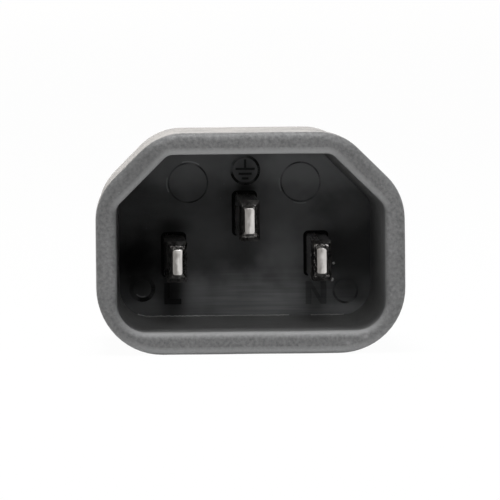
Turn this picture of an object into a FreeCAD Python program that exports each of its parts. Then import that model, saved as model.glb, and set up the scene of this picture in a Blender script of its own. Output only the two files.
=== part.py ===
"""Plug end of a power cord adapter: a moulded three-pin inlet plug with an open, chamfered shroud.

The plug lies on its flat underside. X runs across the pins, Y runs from the open rim to the cord entry and
Z is up. Depths are measured from the rim towards the cord entry. All sizes are in millimetres and degrees.
"""
import FreeCAD, Part
import math
import os

import Sketcher

DIMENSIONS = (
    # The hollow of the shroud, at its rim and at its floor
    ("mouth_width", 25.9),
    ("mouth_height", 17.16),
    ("mouth_chamfer", 5.02),
    ("floor_width", 24.7),
    ("floor_height", 16.2),
    ("floor_chamfer", 4.9),
    ("cavity_depth", 17.0),
    ("cavity_top_radius", 1.2),
    ("cavity_bottom_radius", 2.9),
    # The walls of the shroud and the block behind it
    ("side_wall", 1.96),
    ("top_wall", 1.97),
    ("bottom_wall", 2.17),
    ("chamfer_wall", 2.1),
    ("shell_top_radius", 5.7),
    ("shell_bottom_radius", 6.4),
    ("rim_outer_radius", 0.75),
    ("rim_inner_radius", 0.65),
    ("rim_length", 3.0),
    ("draft_length", 10.0),
    ("side_draft", 2.2),
    ("top_draft", 2.1),
    ("block_length", 24.0),
    # The tail that narrows to the neck of the cord entry
    ("tail_length", 12.0),
    ("tail_inset", 3.4),
    ("tail_bevel", 0.6),
    ("neck_length", 8.0),
    ("neck_root", 11.6),
    ("neck_root_bevel", 0.6),
    ("neck_end", 10.8),
    ("neck_chamfer", 0.6),
    ("cord_bore", 7.2),
    # The finger grips on both flanks
    ("grip_count", 5),
    ("grip_pitch", 2.2),
    ("grip_width", 1.1),
    ("grip_height", 5.6),
    ("grip_depth", 0.6),
    ("grip_start", 14.2),
    # The insert that carries the pins
    ("bridge_lip", 1.0),
    ("bridge_flange", 3.0),
    ("flange_margin", 0.8),
    ("slot_margin", 0.25),
    ("slot_recess", 0.8),
    # The contact pins
    ("pin_width", 2.0),
    ("pin_height", 4.0),
    ("pin_edge_radius", 0.25),
    ("pin_spacing", 14.0),
    ("earth_rise", 4.0),
    ("live_reach", 13.5),
    ("earth_reach", 14.5),
    ("tip_length", 1.1),
    ("tip_width", 0.9),
    ("tip_height", 2.42),
    ("collar_margin", 0.6),
    ("collar_thickness", 1.2),
    ("barrel_diameter", 3.4),
    ("barrel_bore", 2.3),
    ("barrel_length", 6.0),
    # The insulating block round the crimps
    ("core_width", 20.5),
    ("core_height", 12.0),
    ("core_length", 8.5),
    ("core_radius", 2.5),
    ("fan_width", 10.6),
    ("fan_height", 9.2),
    ("fan_length", 5.5),
    ("way_diameter", 2.4),
    ("way_circle", 3.8),
)

# Half the angle by which the outline bends at each end of a chamfer
HALF_BEND = 22.5
# The direction of a chamfer, from the flat underside
SLANT = 90 + 2 * HALF_BEND

# Sizes worked out from the driving dimensions
BODY_LENGTH = "(Dims.block_length + Dims.tail_length + Dims.neck_length)"
SHELL_WIDTH = "(Dims.mouth_width + 2 * Dims.side_wall)"
SHELL_HEIGHT = "(Dims.mouth_height + Dims.bottom_wall + Dims.top_wall)"
SHELL_CHAMFER = "(Dims.mouth_chamfer + Dims.side_wall + Dims.top_wall - sqrt(2) * Dims.chamfer_wall)"
BLOCK_WIDTH = f"({SHELL_WIDTH} - 2 * Dims.draft_length * tan(Dims.side_draft))"
BLOCK_HEIGHT = f"({SHELL_HEIGHT} - Dims.draft_length * tan(Dims.top_draft))"
DRAFT_END = "(Dims.rim_length + Dims.draft_length)"
TAIL_END = "(Dims.block_length + Dims.tail_length)"
AXIS_HEIGHT = "(Dims.bottom_wall + Dims.mouth_height / 2)"
FLOOR_BOTTOM = f"({AXIS_HEIGHT} - Dims.floor_height / 2)"
FLANGE_START = "(Dims.cavity_depth + Dims.bridge_lip)"
BRIDGE_BACK = f"({FLANGE_START} + Dims.bridge_flange)"
COLLAR_BACK = f"({BRIDGE_BACK} + Dims.collar_thickness)"
BARREL_BACK = f"({COLLAR_BACK} + Dims.barrel_length)"
CORE_BACK = f"({BRIDGE_BACK} + Dims.core_length)"
FAN_BACK = f"({CORE_BACK} + Dims.fan_length)"
FAN_BASE = "(Dims.core_width - 2 * Dims.core_radius)"
COLLAR_WIDTH = "(Dims.pin_width + 2 * Dims.collar_margin)"
COLLAR_HEIGHT = "(Dims.pin_height + 2 * Dims.collar_margin)"
LIVE_HEIGHT = f"({AXIS_HEIGHT} - Dims.earth_rise / 2)"
EARTH_HEIGHT = f"({AXIS_HEIGHT} + Dims.earth_rise / 2)"

# Where each pin stands, how far it reaches out of the floor, and which way its conductor leaves the cord
PINS = {
    "line_pin": ("-Dims.pin_spacing / 2", LIVE_HEIGHT, "Dims.live_reach", 210),
    "neutral_pin": ("Dims.pin_spacing / 2", LIVE_HEIGHT, "Dims.live_reach", 330),
    "earth_pin": ("0", EARTH_HEIGHT, "Dims.earth_reach", 90),
}

# The rounded outlines that the mould and the insert share: width, height, chamfer and the two corner radii
MOUTH = ("Dims.mouth_width", "Dims.mouth_height", "Dims.mouth_chamfer",
         "Dims.cavity_top_radius", "Dims.cavity_bottom_radius")
FLOOR = ("Dims.floor_width", "Dims.floor_height", "Dims.floor_chamfer",
         "Dims.cavity_top_radius", "Dims.cavity_bottom_radius")
FLANGE = ("Dims.floor_width + 2 * Dims.flange_margin", "Dims.floor_height + 2 * Dims.flange_margin",
          "Dims.floor_chamfer + (2 - sqrt(2)) * Dims.flange_margin",
          "Dims.cavity_top_radius + Dims.flange_margin", "Dims.cavity_bottom_radius + Dims.flange_margin")
RIM = (SHELL_WIDTH, SHELL_HEIGHT, SHELL_CHAMFER, "Dims.shell_top_radius", "Dims.shell_bottom_radius")
BLOCK = (BLOCK_WIDTH, BLOCK_HEIGHT, SHELL_CHAMFER, "Dims.shell_top_radius", "Dims.shell_bottom_radius")
CORE = ("Dims.core_width", "Dims.core_height", "Dims.core_radius")

doc = FreeCAD.newDocument("power_cord_adapter")


def make_sheet():
    """Write the driving dimensions into the document's spreadsheet, each under its own alias."""
    sheet = doc.addObject("Spreadsheet::Sheet", "Dims")
    for row, (alias, value) in enumerate(DIMENSIONS, 1):
        sheet.set(f"A{row}", alias)
        sheet.set(f"B{row}", str(value))
        sheet.setAlias(f"B{row}", alias)
    doc.recompute()
    return sheet


def value_of(expression):
    """Work out an expression of the sheet as a plain number."""
    return float(sheet.evalExpression(expression))


def new_body(label):
    """Start an empty body for one sub-part."""
    body = doc.addObject("PartDesign::Body", label)
    body.Label = label
    return body


def attach(feature, body, role):
    """Lay a sketch or a primitive on one of its own body's origin planes."""
    plane = next(item for item in body.Origin.OriginFeatures if item.Role == role)
    feature.AttachmentSupport = [(plane, "")]
    feature.MapMode = "FlatFace"


def place(feature, x_shift, y_shift, z_shift):
    """Tie a feature's shift from its plane, along that plane's own axes, to expressions of the sheet."""
    for axis, shift in zip("xyz", (x_shift, y_shift, z_shift)):
        feature.setExpression(f"AttachmentOffset.Base.{axis}", shift)


def cross_sketch(body, name, depth, across="0", up="0"):
    """Start a sketch that lies across the plug at a depth behind the rim, its x to +X and its y to +Z."""
    sketch = body.newObject("Sketcher::SketchObject", name)
    attach(sketch, body, "XZ_Plane")
    place(sketch, across, up, f"{BODY_LENGTH} / 2 - ({depth})")
    return sketch


def close_loop(sketch):
    """Join each of the loop's curves to the next, tangent where they meet."""
    count = sketch.GeometryCount
    for index in range(count):
        sketch.addConstraint(Sketcher.Constraint("Tangent", index, 2, (index + 1) % count, 1))


def bind(sketch, constraint, name, expression):
    """Add a dimension to the sketch and tie it to an expression of the sheet."""
    index = sketch.addConstraint(constraint)
    sketch.renameConstraint(index, name)
    sketch.setExpression(f"Constraints.{name}", expression)


def line(x_from, y_from, x_to, y_to):
    """Make a straight piece of an outline."""
    return Part.LineSegment(FreeCAD.Vector(x_from, y_from, 0), FreeCAD.Vector(x_to, y_to, 0))


def arc(x_centre, y_centre, radius, start, end):
    """Make a round piece of an outline, from one angle to another in degrees."""
    circle = Part.Circle(FreeCAD.Vector(x_centre, y_centre, 0), FreeCAD.Vector(0, 0, 1), radius)
    return Part.ArcOfCircle(circle, math.radians(start), math.radians(end))


def chamfered_outline(body, name, depth, bottom, outline):
    """Sketch the plug's outline: flat below, rounded at the foot and chamfered at both upper corners."""
    width, height, chamfer, top_radius, bottom_radius = (value_of(size) for size in outline)
    half = width / 2
    tangent = top_radius * math.tan(math.radians(HALF_BEND))
    slant = tangent / math.sqrt(2)
    shoulder = height - chamfer
    crown = half - chamfer
    sketch = cross_sketch(body, name, depth, up=bottom)
    sketch.addGeometry([
        line(bottom_radius - half, 0, half - bottom_radius, 0),
        arc(half - bottom_radius, bottom_radius, bottom_radius, 270, 360),
        line(half, bottom_radius, half, shoulder - tangent),
        arc(half - top_radius, shoulder - tangent, top_radius, 0, 45),
        line(half - slant, shoulder + slant, crown + slant, height - slant),
        arc(crown - tangent, height - top_radius, top_radius, 45, 90),
        line(crown - tangent, height, tangent - crown, height),
        arc(tangent - crown, height - top_radius, top_radius, 90, 135),
        line(-crown - slant, height - slant, slant - half, shoulder + slant),
        arc(top_radius - half, shoulder - tangent, top_radius, 135, 180),
        line(-half, shoulder - tangent, -half, bottom_radius),
        arc(bottom_radius - half, bottom_radius, bottom_radius, 180, 270),
    ])
    close_loop(sketch)
    foot, right, right_slant, crown_line, left_slant, left = 0, 2, 4, 6, 8, 10
    sketch.addConstraint(Sketcher.Constraint("Vertical", right))
    sketch.addConstraint(Sketcher.Constraint("Vertical", left))
    sketch.addConstraint(Sketcher.Constraint("Symmetric", foot, 1, foot, 2, -2))
    sketch.addConstraint(Sketcher.Constraint("Symmetric", crown_line, 1, crown_line, 2, -2))
    sketch.addConstraint(Sketcher.Constraint("PointOnObject", foot, 1, -1))
    sketch.addConstraint(Sketcher.Constraint("Angle", right_slant, math.radians(SLANT)))
    sketch.addConstraint(Sketcher.Constraint("Angle", left_slant, -math.radians(SLANT)))
    for corner in (3, 5, 7, 9):
        round_off = Sketcher.Constraint("Radius", corner, top_radius)
        bind(sketch, round_off, f"top_radius_{corner}", outline[3])
    for corner in (1, 11):
        round_off = Sketcher.Constraint("Radius", corner, bottom_radius)
        bind(sketch, round_off, f"foot_radius_{corner}", outline[4])
    bind(sketch, Sketcher.Constraint("DistanceX", left, 1, right, 2, width), "width", outline[0])
    bind(sketch, Sketcher.Constraint("DistanceY", foot, 2, crown_line, 1, height), "height", outline[1])
    run = f"{outline[2]} + ({outline[3]}) * tan({HALF_BEND})"
    bind(sketch, Sketcher.Constraint("DistanceX", crown_line, 1, right, 2, chamfer + tangent), "run", run)
    return sketch


def rounded_rectangle(body, name, depth, across, up, outline):
    """Sketch a rectangle with round corners, centred where across and up say."""
    width, height, radius = (value_of(size) for size in outline)
    half, rise = width / 2, height / 2
    sketch = cross_sketch(body, name, depth, across, up)
    sketch.addGeometry([
        line(radius - half, -rise, half - radius, -rise),
        arc(half - radius, radius - rise, radius, 270, 360),
        line(half, radius - rise, half, rise - radius),
        arc(half - radius, rise - radius, radius, 0, 90),
        line(half - radius, rise, radius - half, rise),
        arc(radius - half, rise - radius, radius, 90, 180),
        line(-half, rise - radius, -half, radius - rise),
        arc(radius - half, radius - rise, radius, 180, 270),
    ])
    close_loop(sketch)
    foot, right, crown, left = 0, 2, 4, 6
    sketch.addConstraint(Sketcher.Constraint("Symmetric", foot, 1, foot, 2, -2))
    sketch.addConstraint(Sketcher.Constraint("Symmetric", right, 1, right, 2, -1))
    sketch.addConstraint(Sketcher.Constraint("Horizontal", crown))
    sketch.addConstraint(Sketcher.Constraint("Vertical", left))
    for corner in (1, 3, 5, 7):
        bind(sketch, Sketcher.Constraint("Radius", corner, radius), f"radius_{corner}", outline[2])
    bind(sketch, Sketcher.Constraint("DistanceX", left, 1, right, 1, width), "width", outline[0])
    bind(sketch, Sketcher.Constraint("DistanceY", foot, 1, crown, 1, height), "height", outline[1])
    return sketch


def circles(body, name, depth, across, up, *diameters):
    """Sketch one or more circles on a common centre."""
    sketch = cross_sketch(body, name, depth, across, up)
    centre, normal = FreeCAD.Vector(0, 0, 0), FreeCAD.Vector(0, 0, 1)
    for index, diameter in enumerate(diameters):
        size = value_of(diameter)
        sketch.addGeometry(Part.Circle(centre, normal, size / 2))
        sketch.addConstraint(Sketcher.Constraint("Coincident", index, 3, -1, 1))
        bind(sketch, Sketcher.Constraint("Diameter", index, size), f"diameter_{index}", diameter)
    return sketch


def extrude(body, name, sketch, length, kind="Pad"):
    """Pad or pocket a cross sketch towards the cord entry."""
    feature = body.newObject(f"PartDesign::{kind}", name)
    feature.Profile = sketch
    feature.setExpression("Length", length)
    feature.Reversed = kind == "Pad"
    return feature


def loft(body, name, sketches, kind="Additive"):
    """Loft straight from each cross sketch of a row to the next."""
    feature = body.newObject(f"PartDesign::{kind}Loft", name)
    feature.Profile = sketches[0]
    feature.Sections = [(sketch, [""]) for sketch in sketches[1:]]
    feature.Ruled = True
    return feature


def loop_at(shape, depth, outer=True):
    """Name the edges round the flat face that a shape has at a depth: its outer loop or the one inside."""
    level = value_of(f"{depth} - {BODY_LENGTH} / 2")
    near = 1e-4
    flat = [face for face in shape.Faces
            if abs(face.BoundBox.YMin - level) < near and abs(face.BoundBox.YMax - level) < near]
    wires = [wire for wire in flat[0].Wires if wire.isSame(flat[0].OuterWire) == outer]
    loop = [edge for wire in wires for edge in wire.Edges]
    return [f"Edge{index}" for index, edge in enumerate(shape.Edges, 1)
            if any(edge.isSame(member) for member in loop)]


def fillet(body, name, base, edges, radius):
    """Round the named edges of the body's last feature."""
    feature = body.newObject("PartDesign::Fillet", name)
    feature.Base = (base, edges)
    feature.setExpression("Radius", radius)
    return feature


def chamfer(body, name, base, edges, along, across):
    """Cut the named edges of the body's last feature back, by one distance along Y and one across it."""
    feature = body.newObject("PartDesign::Chamfer", name)
    feature.Base = (base, edges)
    feature.ChamferType = "Two distances"
    feature.setExpression("Size", along)
    feature.setExpression("Size2", across)
    return feature


def rectangle(sketch, x_from, width, height):
    """Draw a rectangle that starts at a distance from the sketch's y axis and is centred on its x axis."""
    start, run, rise = value_of(x_from), value_of(width), value_of(height) / 2
    sketch.addGeometry([
        line(start, -rise, start + run, -rise),
        line(start + run, -rise, start + run, rise),
        line(start + run, rise, start, rise),
        line(start, rise, start, -rise),
    ])
    foot, far, crown, near = range(4)
    for index in range(4):
        sketch.addConstraint(Sketcher.Constraint("Coincident", index, 2, (index + 1) % 4, 1))
    for side in (foot, crown):
        sketch.addConstraint(Sketcher.Constraint("Horizontal", side))
    sketch.addConstraint(Sketcher.Constraint("Vertical", far))
    sketch.addConstraint(Sketcher.Constraint("Symmetric", near, 1, near, 2, -1))
    bind(sketch, Sketcher.Constraint("DistanceX", -1, 1, foot, 1, start), "start", x_from)
    bind(sketch, Sketcher.Constraint("DistanceX", foot, 1, foot, 2, run), "width", width)
    bind(sketch, Sketcher.Constraint("DistanceY", far, 1, far, 2, 2 * rise), "height", height)


def trapezium(sketch, base, top, length):
    """Draw a trapezium on the sketch's x axis, centred on its y axis, that narrows from base to top."""
    wide, narrow, run = value_of(base) / 2, value_of(top) / 2, value_of(length)
    sketch.addGeometry([
        line(-wide, 0, wide, 0),
        line(wide, 0, narrow, run),
        line(narrow, run, -narrow, run),
        line(-narrow, run, -wide, 0),
    ])
    foot, crown = 0, 2
    for index in range(4):
        sketch.addConstraint(Sketcher.Constraint("Coincident", index, 2, (index + 1) % 4, 1))
    for side in (foot, crown):
        sketch.addConstraint(Sketcher.Constraint("Symmetric", side, 1, side, 2, -2))
    sketch.addConstraint(Sketcher.Constraint("PointOnObject", foot, 1, -1))
    bind(sketch, Sketcher.Constraint("DistanceX", foot, 1, foot, 2, 2 * wide), "base", base)
    bind(sketch, Sketcher.Constraint("DistanceX", crown, 2, crown, 1, 2 * narrow), "top", top)
    bind(sketch, Sketcher.Constraint("DistanceY", foot, 1, crown, 2, run), "length", length)


def fan(body, kind):
    """Make the wedge in which the conductors spread out, or the seat for it."""
    sketch = body.newObject("Sketcher::SketchObject", "fan_sketch")
    attach(sketch, body, "XY_Plane")
    place(sketch, "0", f"{CORE_BACK} - {BODY_LENGTH} / 2", AXIS_HEIGHT)
    trapezium(sketch, FAN_BASE, "Dims.fan_width", "Dims.fan_length")
    feature = body.newObject(f"PartDesign::{kind}", "fan")
    feature.Profile = sketch
    feature.Midplane = True
    feature.setExpression("Length", "Dims.fan_height")
    return feature


def turned(body, name, depth, corners):
    """Turn a closed outline round the plug's axis: each corner is a radius and a run behind a depth."""
    sketch = body.newObject("Sketcher::SketchObject", f"{name}_sketch")
    attach(sketch, body, "XY_Plane")
    place(sketch, "0", f"{depth} - {BODY_LENGTH} / 2", AXIS_HEIGHT)
    spots = [(value_of(radius), value_of(run)) for radius, run in corners]
    count = len(corners)
    for index, spot in enumerate(spots):
        sketch.addGeometry(line(*spot, *spots[(index + 1) % count]))
    for index in range(count):
        sketch.addConstraint(Sketcher.Constraint("Coincident", index, 2, (index + 1) % count, 1))
    x_axis, y_axis = -1, -2
    for index, ((radius, run), (across, along)) in enumerate(zip(corners, spots)):
        if radius == "0":
            sketch.addConstraint(Sketcher.Constraint("PointOnObject", index, 1, y_axis))
        else:
            reach = Sketcher.Constraint("DistanceX", -1, 1, index, 1, across)
            bind(sketch, reach, f"radius_{index}", radius)
        if run == "0":
            sketch.addConstraint(Sketcher.Constraint("PointOnObject", index, 1, x_axis))
        else:
            reach = Sketcher.Constraint("DistanceY", -1, 1, index, 1, along)
            bind(sketch, reach, f"run_{index}", run)
    feature = body.newObject("PartDesign::Revolution", name)
    feature.Profile = sketch
    feature.ReferenceAxis = (sketch, ["V_Axis"])
    return feature


def grip_row(body, side):
    """Cut the row of finger grips into one flank: side is 1 or -1."""
    name = "right" if side > 0 else "left"
    sketch = body.newObject("Sketcher::SketchObject", f"{name}_grip_sketch")
    attach(sketch, body, "YZ_Plane")
    flank_top = f"({BLOCK_HEIGHT} - {SHELL_CHAMFER} - Dims.shell_top_radius * tan({HALF_BEND}))"
    place(sketch, f"-{BODY_LENGTH} / 2", f"({flank_top} + Dims.shell_bottom_radius) / 2",
          f"{side} * {BLOCK_WIDTH} / 2")
    rectangle(sketch, "Dims.grip_start", "Dims.grip_width", "Dims.grip_height")
    pocket = body.newObject("PartDesign::Pocket", f"{name}_grip")
    pocket.Profile = sketch
    pocket.setExpression("Length", "Dims.grip_depth")
    pocket.Reversed = side < 0
    doc.recompute()
    row = body.newObject("PartDesign::LinearPattern", f"{name}_grips")
    row.Originals = [pocket]
    row.Direction = (sketch, ["H_Axis"])
    row.setExpression("Length", "(Dims.grip_count - 1) * Dims.grip_pitch")
    row.setExpression("Occurrences", "Dims.grip_count")
    body.Tip = row
    doc.recompute()


def shape_outside(body):
    """Build the outside of the overmould, solid: rim, drafted collar, block, tail and neck."""
    rim = chamfered_outline(body, "rim_sketch", "0", "0", RIM)
    extrude(body, "rim", rim, "Dims.rim_length")
    front = chamfered_outline(body, "draft_front_sketch", "Dims.rim_length", "0", RIM)
    back = chamfered_outline(body, "draft_back_sketch", DRAFT_END, "0", BLOCK)
    loft(body, "draft", [front, back])
    block = extrude(body, "block", back, f"{TAIL_END} - {DRAFT_END}")
    doc.recompute()
    end_loop = loop_at(block.Shape, TAIL_END)
    tail = chamfer(body, "tail", block, end_loop, "Dims.tail_length", "Dims.tail_inset")
    doc.recompute()
    tail_loop = loop_at(tail.Shape, TAIL_END)
    chamfer(body, "tail_edge", tail, tail_loop, "Dims.tail_bevel", "Dims.tail_bevel")
    turned(body, "neck", TAIL_END, [
        ("0", "0"),
        ("Dims.neck_root / 2 + Dims.neck_root_bevel", "0"),
        ("Dims.neck_root / 2", "Dims.neck_root_bevel"),
        ("Dims.neck_end / 2", "Dims.neck_length - Dims.neck_chamfer"),
        ("Dims.neck_end / 2 - Dims.neck_chamfer", "Dims.neck_length"),
        ("0", "Dims.neck_length"),
    ])
    doc.recompute()
    for side in (1, -1):
        grip_row(body, side)


def hollow_out(body):
    """Cut the shroud's hollow, the seats of the pieces moulded in and the cord entry."""
    mouth = chamfered_outline(body, "mouth_sketch", "0", "Dims.bottom_wall", MOUTH)
    extrude(body, "mouth", mouth, "Dims.rim_length", "Pocket")
    throat = chamfered_outline(body, "throat_sketch", "Dims.rim_length", "Dims.bottom_wall", MOUTH)
    floor = chamfered_outline(body, "floor_sketch", "Dims.cavity_depth", FLOOR_BOTTOM, FLOOR)
    loft(body, "cavity", [throat, floor], kind="Subtractive")
    extrude(body, "lip_seat", floor, "Dims.bridge_lip", "Pocket")
    flange = chamfered_outline(body, "flange_sketch", FLANGE_START,
                               f"{FLOOR_BOTTOM} - Dims.flange_margin", FLANGE)
    extrude(body, "flange_seat", flange, "Dims.bridge_flange", "Pocket")
    core = rounded_rectangle(body, "core_sketch", BRIDGE_BACK, "0", AXIS_HEIGHT, CORE)
    extrude(body, "core_seat", core, "Dims.core_length", "Pocket")
    fan(body, "Pocket")
    bore = circles(body, "bore_sketch", FAN_BACK, "0", AXIS_HEIGHT, "Dims.cord_bore")
    return extrude(body, "cord_entry", bore, f"{BODY_LENGTH} - {FAN_BACK}", "Pocket")


def make_outer_mould():
    """The soft overmould: shroud, grips, tail and neck, hollow from the rim to the cord entry."""
    body = new_body("outer_mould")
    shape_outside(body)
    hollow = hollow_out(body)
    doc.recompute()
    inner_loop = loop_at(hollow.Shape, "0", outer=False)
    lip = fillet(body, "rim_inner", hollow, inner_loop, "Dims.rim_inner_radius")
    doc.recompute()
    fillet(body, "rim_outer", lip, loop_at(lip.Shape, "0"), "Dims.rim_outer_radius")
    doc.recompute()
    return body


def make_pin_bridge():
    """The hard insert: its lip is the floor of the shroud, its flange is held in the overmould."""
    body = new_body("pin_bridge")
    floor = chamfered_outline(body, "floor_sketch", "Dims.cavity_depth", FLOOR_BOTTOM, FLOOR)
    extrude(body, "lip", floor, "Dims.bridge_lip")
    flange = chamfered_outline(body, "flange_sketch", FLANGE_START,
                               f"{FLOOR_BOTTOM} - Dims.flange_margin", FLANGE)
    extrude(body, "flange", flange, "Dims.bridge_flange")
    slot = ("Dims.pin_width", "Dims.pin_height", "Dims.pin_edge_radius")
    recess = tuple(f"{size} + {sides} * Dims.slot_margin" for size, sides in zip(slot, (2, 2, 1)))
    for name, (across, up, _, _) in PINS.items():
        sketch = rounded_rectangle(body, f"{name}_slot_sketch", "Dims.cavity_depth", across, up, slot)
        extrude(body, f"{name}_slot", sketch, "Dims.bridge_lip + Dims.bridge_flange", "Pocket")
        mouth = rounded_rectangle(body, f"{name}_recess_sketch", "Dims.cavity_depth", across, up, recess)
        extrude(body, f"{name}_recess", mouth, "Dims.slot_recess", "Pocket")
    doc.recompute()
    return body


def make_pin(name):
    """A contact pin: bevelled tip, flat blade, collar behind the insert and crimp barrel."""
    across, up, reach, _ = PINS[name]
    body = new_body(name)
    blade = ("Dims.pin_width", "Dims.pin_height", "Dims.pin_edge_radius")
    tip = ("Dims.tip_width", "Dims.tip_height", "Dims.pin_edge_radius")
    collar = (COLLAR_WIDTH, COLLAR_HEIGHT, "Dims.pin_edge_radius")
    tip_depth = f"(Dims.cavity_depth - {reach})"
    blade_depth = f"({tip_depth} + Dims.tip_length)"
    tip_sketch = rounded_rectangle(body, f"{name}_tip_sketch", tip_depth, across, up, tip)
    blade_sketch = rounded_rectangle(body, f"{name}_blade_sketch", blade_depth, across, up, blade)
    loft(body, f"{name}_tip", [tip_sketch, blade_sketch])
    extrude(body, f"{name}_blade", blade_sketch, f"{BRIDGE_BACK} - {blade_depth}")
    collar_sketch = rounded_rectangle(body, f"{name}_collar_sketch", BRIDGE_BACK, across, up, collar)
    extrude(body, f"{name}_collar", collar_sketch, "Dims.collar_thickness")
    barrel = circles(body, f"{name}_barrel_sketch", COLLAR_BACK, across, up,
                     "Dims.barrel_diameter", "Dims.barrel_bore")
    extrude(body, f"{name}_barrel", barrel, "Dims.barrel_length")
    doc.recompute()
    return body


def make_inner_mould():
    """The insulating block round the crimps, with a way for each conductor down to the cord entry."""
    body = new_body("inner_mould")
    core = rounded_rectangle(body, "core_sketch", BRIDGE_BACK, "0", AXIS_HEIGHT, CORE)
    extrude(body, "core", core, "Dims.core_length")
    fan(body, "Pad")
    collar = (COLLAR_WIDTH, COLLAR_HEIGHT, "Dims.pin_edge_radius")
    for name, (across, up, _, angle) in PINS.items():
        sketch = rounded_rectangle(body, f"{name}_collar_sketch", BRIDGE_BACK, across, up, collar)
        extrude(body, f"{name}_collar_seat", sketch, "Dims.collar_thickness", "Pocket")
        barrel = circles(body, f"{name}_barrel_sketch", COLLAR_BACK, across, up, "Dims.barrel_diameter")
        extrude(body, f"{name}_barrel_seat", barrel, "Dims.barrel_length", "Pocket")
        near = circles(body, f"{name}_near_sketch", BARREL_BACK, across, up, "Dims.way_diameter")
        far = circles(body, f"{name}_far_sketch", FAN_BACK, f"Dims.way_circle / 2 * cos({angle})",
                      f"{AXIS_HEIGHT} + Dims.way_circle / 2 * sin({angle})", "Dims.way_diameter")
        loft(body, f"{name}_way", [near, far], kind="Subtractive")
    doc.recompute()
    return body


def write_parts(bodies):
    """Check the whole document, then write each sub-part to its own file."""
    for item in doc.Objects:
        if "Invalid" in item.State or "Error" in item.State:
            raise RuntimeError(f"{item.Label} failed: {item.State}")
    os.makedirs("parts", exist_ok=True)
    for body in bodies:
        shape = body.Shape
        if shape.isNull() or not shape.isValid() or len(shape.Solids) != 1:
            raise RuntimeError(f"{body.Label} is not one sound solid")
        print(body.Label, round(shape.Volume, 2), "mm3")
        shape.exportStep(f"parts/{body.Label}.step")


sheet = make_sheet()
parts = [make_outer_mould(), make_pin_bridge(), make_inner_mould()]
parts += [make_pin(name) for name in PINS]
doc.recompute()
write_parts(parts)
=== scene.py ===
"""Looks of the plug end of a power cord adapter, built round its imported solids.

Sizes are in millimetres in the part's own frame: X runs across the pins, Y from the open rim to the cord
entry, and Z is up. A depth is measured from the rim towards the cord entry.
"""

import logging
import math
from dataclasses import dataclass, field
from enum import Enum
from typing import Any, Sequence

import bmesh
import bpy
from mathutils import Matrix, Vector, noise
from mathutils.geometry import delaunay_2d_cdt


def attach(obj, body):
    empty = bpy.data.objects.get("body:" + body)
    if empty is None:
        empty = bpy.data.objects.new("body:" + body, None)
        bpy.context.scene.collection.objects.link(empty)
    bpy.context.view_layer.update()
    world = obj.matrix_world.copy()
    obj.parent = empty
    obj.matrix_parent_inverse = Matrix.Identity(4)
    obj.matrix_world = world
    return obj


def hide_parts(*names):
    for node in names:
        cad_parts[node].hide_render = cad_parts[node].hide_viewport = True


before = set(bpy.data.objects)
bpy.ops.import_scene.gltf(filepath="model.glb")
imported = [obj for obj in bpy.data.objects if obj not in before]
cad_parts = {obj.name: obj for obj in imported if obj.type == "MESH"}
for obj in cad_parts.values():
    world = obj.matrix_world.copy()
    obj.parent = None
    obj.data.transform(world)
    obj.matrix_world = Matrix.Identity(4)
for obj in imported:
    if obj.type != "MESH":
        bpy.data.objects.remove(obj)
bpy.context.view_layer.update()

LOG = logging.getLogger("plug")
MM = 0.001
BODY_LENGTH = 44.0
RIM_Y = -BODY_LENGTH / 2
AXIS_HEIGHT = 10.75
FLOOR_DEPTH = 17.0
LIP = 1.0
BRIDGE_BACK = 21.0
FLANGE_MARGIN = 0.8
HALF_BEND = math.radians(22.5)
# The first two mesh attributes carry painted shade and painted light into the materials.
PAINTED_SHADE = "shade"
PAINTED_LIGHT = "bloom"
BURR = "burr"

Spot = tuple[float, float]
Point = tuple[float, float, float]
Ring = list[Point]


class Slot(Enum):
    """The record's material slots."""

    SOFT_PVC = "soft_pvc"
    BRIDGE_PLASTIC = "bridge_plastic"
    CORE_PLASTIC = "core_plastic"
    PLATED_BRASS = "plated_brass"


class Contact(Enum):
    """The three contact pins, by the node that each one stands for."""

    LINE = "line_pin"
    NEUTRAL = "neutral_pin"
    EARTH = "earth_pin"


PIN_SPOTS = {Contact.LINE: (-7.0, 8.75), Contact.NEUTRAL: (7.0, 8.75), Contact.EARTH: (0.0, 12.75)}


# Node trees

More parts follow.
